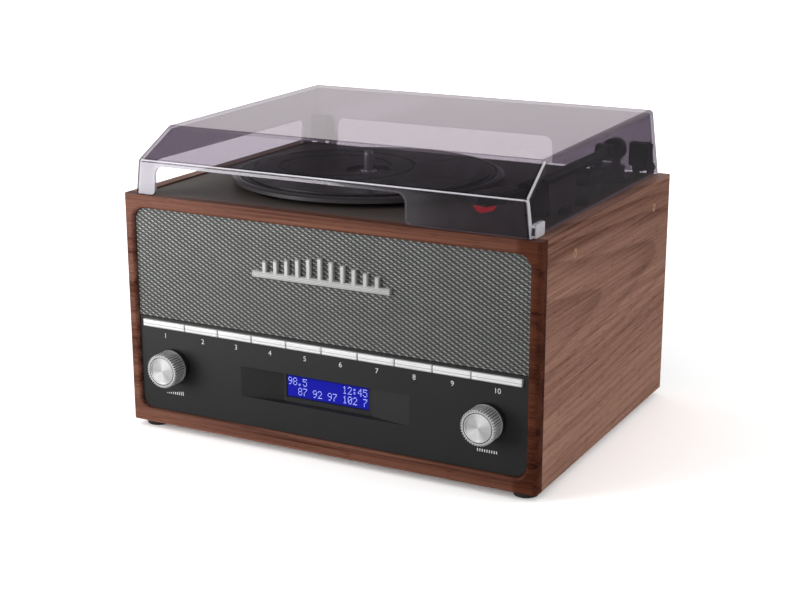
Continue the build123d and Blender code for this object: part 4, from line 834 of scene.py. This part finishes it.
# Figures on the display: seven rows from the top, each a number whose five bits are its dots
DOT_ROWS = {
    "0": (14, 17, 19, 21, 25, 17, 14),
    "1": (4, 12, 4, 4, 4, 4, 14),
    "2": (14, 17, 1, 2, 4, 8, 31),
    "3": (31, 2, 4, 2, 1, 17, 14),
    "4": (2, 6, 10, 18, 31, 2, 2),
    "5": (31, 16, 30, 1, 1, 17, 14),
    "6": (6, 8, 16, 30, 17, 17, 14),
    "7": (31, 1, 2, 4, 8, 8, 8),
    "8": (14, 17, 17, 14, 17, 17, 14),
    "9": (14, 17, 17, 15, 1, 2, 12),
    ".": (0, 0, 0, 0, 0, 12, 12),
    ":": (0, 12, 12, 0, 12, 12, 0),
    " ": (0, 0, 0, 0, 0, 0, 0),
}


class RECORD_PLAYER_OT_display(bpy.types.Operator):
    """Light the display and set plain dot figures on it"""

    bl_idname = "record_player.display"
    bl_label = "Display"

    def execute(self, context):
        looks = context.scene.record_player_display
        finish = new_finish("display_lit")
        middle = (DISPLAY_LOW + DISPLAY_HIGH) / 2
        x, y, z = finish.axes(finish.at(middle=(middle.x, DISPLAY_LOW.y, middle.z)))
        front = 1.0 - finish.soft_step(y, FACE_DEPTH, FACE_DEPTH + FACE_FADE)
        across = finish.soft_step(finish.sum("ABSOLUTE", x), LIT_HALF_WIDTH, LIT_HALF_WIDTH + LIT_FADE)
        upward = finish.soft_step(finish.sum("ABSOLUTE", z), LIT_HALF_HEIGHT, LIT_HALF_HEIGHT + LIT_FADE)
        lit = front * (1.0 - across) * (1.0 - upward)
        uneven = finish.noise(finish.at(), scale=40, detail=1) * 0.25 + 0.85
        glow = finish.mix(lit * uneven, solid((0.001, 0.001, 0.02)), solid(looks.glow))
        finish.surface(
            Base_Color=finish.mix(front, solid((0.01, 0.01, 0.01)), solid((0.01, 0.012, 0.12))),
            Roughness=0.18,
            Specular_IOR_Level=0.15,
            Emission_Color=finish.mix(front, solid((0, 0, 0)), glow),
            Emission_Strength=1.0,
        )
        dress(finish.owner, "display_module")
        shape = bmesh.new()
        for line, text in enumerate((looks.upper, looks.lower)):
            for place, letter in enumerate(text[:PLACES]):
                left = middle.x - FIRST_DOT_LEFT + place * PLACE_PITCH
                self.add_dots(shape, letter, left, middle.z + FIRST_DOT_RISE - line * LINE_PITCH)
        glow = {"Emission_Color": solid(looks.figures), "Emission_Strength": 1.0}
        pale = plain("figure_glow", looks.figures, 0.3, **glow)
        make_piece("display_figures", shape, BODY, pale, finish="display_blue")
        return {"FINISHED"}

    def add_dots(self, shape, letter, left, top):
        """The square dots of one figure, from its upper left dot."""
        for row, bits in enumerate(DOT_ROWS[letter]):
            for column in range(5):
                if bits >> (4 - column) & 1:
                    spot = (left + column * DOT_PITCH, DISPLAY_LOW.y - DOT_LIFT, top - row * ROW_PITCH)
                    add_strip(shape, DOT_SIDE, DOT_SIDE, spot)


class RECORD_PLAYER_OT_deck(bpy.types.Operator):
    """Dress the deck plate, the platter, its mat and the drive"""

    bl_idname = "record_player.deck"
    bl_label = "Deck and platter"

    def execute(self, context):
        deck = moulded("deck_charcoal", (0.155, 0.132, 0.115), 0.55, 1300, 0.00004, Specular_IOR_Level=0.25)
        dress(deck, "deck_plate")
        dress(moulded("platter_satin", (0.070, 0.064, 0.067), 0.32, 1600, 0.00001), "platter")
        mat = ribbed_rubber("mat_rubber", (0.024, 0.022, 0.024), PLATTER_CENTRE, MAT_RINGS, MAT_SPOKES)
        dress(mat, "platter_mat")
        dress(metal("polished_steel", (0.90, 0.90, 0.90), 0.20, shine=0.6), "spindle", "hinge_pins")
        dress(metal("bearing_brass", (0.72, 0.55, 0.28), 0.3), "spindle_bearing", "motor_pulley")
        dress(moulded("belt_rubber", (0.02, 0.02, 0.02), 0.6, 1100), "drive_belt")
        return {"FINISHED"}


class RECORD_PLAYER_OT_tonearm(bpy.types.Operator):
    """Dress the tonearm, its rest, the lever and the two sliders"""

    bl_idname = "record_player.tonearm"
    bl_label = "Tonearm"

    def execute(self, context):
        black = moulded("arm_black", (0.020, 0.019, 0.020), 0.26, 1700, 0.00001)
        dress(
            black, "tonearm_base", "tonearm_gimbal", "counterweight", "headshell", "arm_rest",
            "cue_lever", "speed_switch", "auto_stop_switch",
        )
        dress(metal("arm_tube", (0.16, 0.16, 0.17), 0.26, (40, 1, 40)), "tonearm_tube")
        red = (0.90, 0.012, 0.035)
        # Painted light: the red stylus glows a little, though it is no lamp
        glow = {"Emission_Color": solid(red), "Emission_Strength": 0.6}
        dress(plain("stylus_red", red, 0.14, Coat_Weight=0.6, **glow), "stylus")
        return {"FINISHED"}


class RECORD_PLAYER_OT_cover(bpy.types.Operator):
    """Make the smoked cover clear, with painted light on the cut edges and painted highlights on the bends,
    and dress the hinges
    """

    bl_idname = "record_player.cover"
    bl_label = "Dust cover and hinges"

    def execute(self, context):
        looks = context.scene.record_player_cover
        shape = bmesh.new()
        shape.from_mesh(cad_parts["dust_cover"].data)
        bmesh.ops.remove_doubles(shape, verts=shape.verts, dist=1e-6)
        flats = self.flat_directions(shape)
        for face in shape.faces:
            face.material_index = self.kind(face, flats)
        for edge in shape.edges:
            kinds = {face.material_index in (BEND, CREST) for face in edge.link_faces}
            edge.smooth = len(kinds) == 1 and edge.calc_face_angle(0) < radians(CREASE)
        materials = {
            WALL: self.smoked("cover_smoked", looks.tint, looks.sheen),
            # The cut edges take painted light, and the crests of the bends a painted highlight
            CUT: self.edge("cover_edge", looks.rim, 0.45),
            BEND: self.smoked("cover_bend", [c * 0.75 for c in looks.tint], looks.sheen, shine=0.45),
            CREST: self.edge("cover_line", looks.rim, 0.75),
            # The front lip gets a painted reflection on its left
            LIP: self.smoked("cover_lip", looks.tint, looks.sheen, painted_sheen=0.6),
        }
        make_piece(
            "dust_cover_clear", shape, "dust_cover", *materials.values(),
            finish="cover_smoke", stands_for=["dust_cover"], crease=None,
        )
        hinge = moulded("hinge_black", (0.020, 0.020, 0.022), 0.34, 1500, 0.00002)
        dress(hinge, "hinge_clips", "hinge_brackets")
        return {"FINISHED"}

    def kind(self, face, flats):
        """Which of the cover's materials a face has."""
        if face.normal.y < -0.99 and face.calc_center_median().y < COVER_LOW.y + LIP_DEPTH:
            return LIP
        if any(face.normal.dot(flat) > 0.9996 for flat in flats):
            return CUT if self.is_sawn(face) else WALL
        if self.is_corner(face):
            return CUT
        return CREST if self.is_mid_bend(face, flats) else BEND

    def flat_directions(self, shape):
        """The directions that most of the cover's surface faces."""
        areas = {}
        for face in shape.faces:
            key = tuple(round(c, 2) + 0.0 for c in face.normal)
            areas.setdefault(key, [0.0, Vector()])
            areas[key][0] += face.calc_area()
            areas[key][1] += face.normal * face.calc_area()
        return [total.normalized() for area, total in areas.values() if area > FLAT_AREA]

    def is_sawn(self, face):
        """Whether a flat face is a sawn edge, as narrow as the wall."""
        spot = face.calc_center_median()
        if abs(face.normal.z) > 0.99:
            return spot.z < COVER_LOW.z + CUT_LEVEL
        if abs(face.normal.y) > 0.999:
            return FRONT + CUT_FRONT < spot.y < COVER_HIGH.y - CUT_BACK
        return abs(face.normal.x) > 0.999 and abs(spot.x) < COVER_HIGH.x - CUT_SIDE

    def is_corner(self, face):
        """Whether a curved face is the rounded corner of a sawn opening."""
        spot = face.calc_center_median()
        at_end = spot.y < COVER_LOW.y + CORNER_REACH or spot.y > COVER_HIGH.y - CORNER_REACH
        at_side = abs(spot.x) > COVER_HIGH.x - CORNER_REACH
        return at_end and abs(face.normal.y) < 0.01 or at_side and abs(face.normal.x) < 0.01

    def is_mid_bend(self, face, flats):
        """Whether a face is in the middle of a bend, where the bend gets a painted highlight."""
        spot = face.calc_center_median()
        turns = sorted(face.normal.angle(flat) for flat in flats)[:2]
        across = abs(face.normal.x) < 0.01 and abs(face.normal.y) > 0.5
        right = spot.x > 0 and spot.y < COVER_LOW.y + SLOPE_REACH
        return (across or right) and turns[0] > 0.42 * (turns[0] + turns[1])

    def smoked(self, name, tint, sheen, painted_sheen=0.0, shine=1.0):
        """Clear smoked sheet that mirrors more at a glancing look, a little dusty, and with a painted
        reflection as a pale haze on its left.
        """
        finish = new_finish(name)
        facing = finish.node("ShaderNodeLayerWeight", {}, {"Blend": 0.5}, output="Facing")
        mirror = (facing ** 5.0) * (1.0 - sheen) + sheen
        clear = finish.node("ShaderNodeBsdfTransparent", {}, {"Color": solid(tint)})
        warm = (shine, 0.945 * shine, 0.955 * shine, 1.0)
        gloss = finish.node("ShaderNodeBsdfAnisotropic", {}, {"Color": warm, "Roughness": 0.03})
        sheet = finish.node("ShaderNodeMixShader", {}, {0: mirror, 1: clear, 2: gloss})
        # The pale shader carries the real dust and the painted reflection
        dust = finish.node("ShaderNodeBsdfDiffuse", {}, {"Color": (0.71, 0.69, 0.75, 1.0)})
        wiped = finish.noise(finish.at((14, 5, 14)), detail=4, rough=0.7)
        dust_and_painted_sheen = finish.soft_step(wiped, 0.35, 0.75) * 0.02 + 0.004
        # Painted reflection: a pale haze on the left that fades out to the right, for the lamp the sheet
        # mirrors there
        if painted_sheen:
            x = finish.axes(finish.at())[0]
            dust_and_painted_sheen = dust_and_painted_sheen + (1.0 - finish.soft_step(x, -0.13, 0.09)) * painted_sheen
        finish.close(finish.node("ShaderNodeMixShader", {}, {0: dust_and_painted_sheen, 1: sheet, 2: dust}))
        return finish.owner

    def edge(self, name, shade, cover):
        """A cut edge or the crest of a bend, painted pale: painted light where the sheet carries the light
        out of a cut edge, and a painted highlight along a bend.
        """
        finish = new_finish(name)
        clear = finish.node("ShaderNodeBsdfTransparent", {}, {"Color": solid((0.80, 0.77, 0.82))})
        pale = finish.node("ShaderNodeBsdfPrincipled", {}, {"Base Color": solid(shade), "Roughness": 0.12})
        cloud = finish.noise(finish.at(), scale=60, detail=2) * 0.2 + (cover - 0.1)
        finish.close(finish.node("ShaderNodeMixShader", {}, {0: cloud, 1: clear, 2: pale}))
        return finish.owner


class RECORD_PLAYER_OT_insides(bpy.types.Operator):
    """Dress the circuit boards and the sockets on the back"""

    bl_idname = "record_player.insides"
    bl_label = "Boards and sockets"

    def execute(self, context):
        dress(circuit("circuit_green"), "front_circuit_board", "main_circuit_board")
        dress(moulded("jack_plate", (0.025, 0.025, 0.026), 0.42, 1200), "jack_panel")
        return {"FINISHED"}


class RECORD_PLAYER_OT_studio(bpy.types.Operator):
    """Set the camera, the lamps, the floor and the plain background"""

    bl_idname = "record_player.studio"
    bl_label = "Studio"

    def execute(self, context):
        settings = context.scene.record_player_studio
        self.camera(context, settings)
        self.floor()
        self.world(context, settings)
        self.lamp("key_lamp", settings.key, 1.5, (-1.35, -1.25, 1.05))
        self.lamp("right_lamp", settings.side, 1.2, (1.6, 0.55, 0.80))
        self.lamp("glint_lamp", settings.glint, 0.2, (-0.95, -1.15, 1.55))
        self.lamp("front_lamp", settings.front, 0.5, (-0.62, -0.73, 0.20))
        context.scene.view_settings.view_transform = "Standard"
        return {"FINISHED"}

    def camera(self, context, settings):
        """A camera at the photograph's viewing angle, with no shift."""
        view = bpy.data.objects.new("camera", bpy.data.cameras.new("camera"))
        view.data.sensor_width = 36
        view.data.lens = settings.lens
        view.data.clip_start = 0.01
        view.location = settings.place
        view.rotation_euler = (pi / 2 - settings.dip, 0, settings.turn)
        context.scene.collection.objects.link(view)
        context.scene.camera = view

    def floor(self):
        """A pale floor that keeps the object's shadow, with a pool of light in front on the left."""
        shape = bmesh.new()
        bmesh.ops.create_grid(shape, x_segments=1, y_segments=1, size=FLOOR_REACH)
        finish = new_finish("studio_floor")
        seen, mirrored = self.rays(finish)
        matt = finish.node("ShaderNodeBsdfDiffuse", {}, {"Color": (0.80, 0.80, 0.80, 1)})
        bright = finish.node("ShaderNodeBsdfDiffuse", {}, {"Color": (1.75, 1.75, 1.75, 1)})
        dim = finish.node("ShaderNodeBsdfDiffuse", {}, {"Color": (0.14, 0.14, 0.14, 1)})
        ground = finish.node("ShaderNodeMixShader", {}, {0: seen, 1: matt, 2: bright})
        ground = finish.node("ShaderNodeMixShader", {}, {0: mirrored, 1: ground, 2: dim})
        x, y, _ = finish.axes(finish.at(middle=POOL_MIDDLE))
        pool = 1.0 - finish.soft_step((x * x + y * y) ** 0.5, POOL_CORE, POOL_REACH)
        front = 1.0 - finish.soft_step(y, 0.45, 1.05)
        far = finish.node("ShaderNodeVectorMath", {"operation": "LENGTH"}, {0: finish.at()}, output="Value")
        far = finish.soft_step(far, 0.40, 1.30)
        strength = seen * (far * 0.6 + 0.07) + mirrored * (pool * 1.5 + front * 0.12)
        lift = finish.node("ShaderNodeEmission", {}, {"Color": (1, 1, 1, 1), "Strength": strength})
        finish.close(finish.node("ShaderNodeAddShader", {}, {0: ground, 1: lift}))
        mesh = bpy.data.meshes.new("studio_floor")
        shape.to_mesh(mesh)
        shape.free()
        mesh.materials.append(finish.owner)
        floor = bpy.data.objects.new("studio_floor", mesh)
        bpy.context.scene.collection.objects.link(floor)

    def rays(self, finish):
        """1 where the camera sees this, straight or through glass, and 1 where a reflection does."""
        straight = finish.node("ShaderNodeLightPath", output="Is Camera Ray")
        through = finish.node("ShaderNodeLightPath", output="Is Transmission Ray")
        mirrored = finish.node("ShaderNodeLightPath", output="Is Glossy Ray")
        return finish.sum("MAXIMUM", straight, through), mirrored

    def world(self, context, settings):
        """Even light all round, white where it is seen, and a dark ceiling in reflections."""
        world = bpy.data.worlds.new("studio")
        context.scene.world = world
        finish = Finish(world, "ShaderNodeOutputWorld")
        seen, mirrored = self.rays(finish)
        up = finish.axes(finish.node("ShaderNodeTexCoord", output="Generated"))[2]
        walls = 0.84 - finish.soft_step(up, 0.25, 0.60) * 0.70
        strength = seen + mirrored * walls + (1.0 - seen - mirrored) * settings.fill
        finish.close(finish.node("ShaderNodeBackground", {}, {"Color": (1, 1, 1, 1), "Strength": strength}))

    def lamp(self, name, power, size, place):
        """A soft square lamp that looks at the object."""
        light = bpy.data.lights.new(name, "AREA")
        light.energy = power
        light.size = size
        lamp = bpy.data.objects.new(name, light)
        lamp.location = place
        lamp.rotation_euler = (LAMP_TARGET - Vector(place)).to_track_quat("-Z", "Y").to_euler()
        bpy.context.scene.collection.objects.link(lamp)


STEPS = (
    RECORD_PLAYER_OT_cabinet,
    RECORD_PLAYER_OT_grille,
    RECORD_PLAYER_OT_front,
    RECORD_PLAYER_OT_knobs,
    RECORD_PLAYER_OT_display,
    RECORD_PLAYER_OT_deck,
    RECORD_PLAYER_OT_tonearm,
    RECORD_PLAYER_OT_cover,
    RECORD_PLAYER_OT_insides,
    RECORD_PLAYER_OT_studio,
)
LOOKS = {
    "record_player_cabinet": CabinetLooks,
    "record_player_grille": GrilleLooks,
    "record_player_front": FrontLooks,
    "record_player_display": DisplayLooks,
    "record_player_cover": CoverLooks,
    "record_player_studio": StudioSettings,
}


class RECORD_PLAYER_PT_panel(bpy.types.Panel):
    """Lists the steps and what can be changed"""

    bl_idname = "RECORD_PLAYER_PT_panel"
    bl_label = "Record Player"
    bl_space_type = "VIEW_3D"
    bl_region_type = "UI"
    bl_category = "Record Player"

    def draw(self, context):
        for step in STEPS:
            self.layout.operator(step.bl_idname)
        for key, group in LOOKS.items():
            box = self.layout.box()
            box.label(text=group.__doc__)
            for name in group.__annotations__:
                box.prop(getattr(context.scene, key), name)


CLASSES = (*LOOKS.values(), *STEPS, RECORD_PLAYER_PT_panel)


def register():
    """Add the classes and give the scene its settings."""
    for cls in CLASSES:
        bpy.utils.register_class(cls)
    for key, group in LOOKS.items():
        setattr(bpy.types.Scene, key, PointerProperty(type=group))


def unregister():
    """Take the settings and the classes away."""
    for key in LOOKS:
        delattr(bpy.types.Scene, key)
    for cls in reversed(CLASSES):
        bpy.utils.unregister_class(cls)


def main():
    """Run every step in order."""
    register()
    for step in STEPS:
        family, name = step.bl_idname.split(".")
        getattr(getattr(bpy.ops, family), name)()


if __name__ == "__main__":
    main()
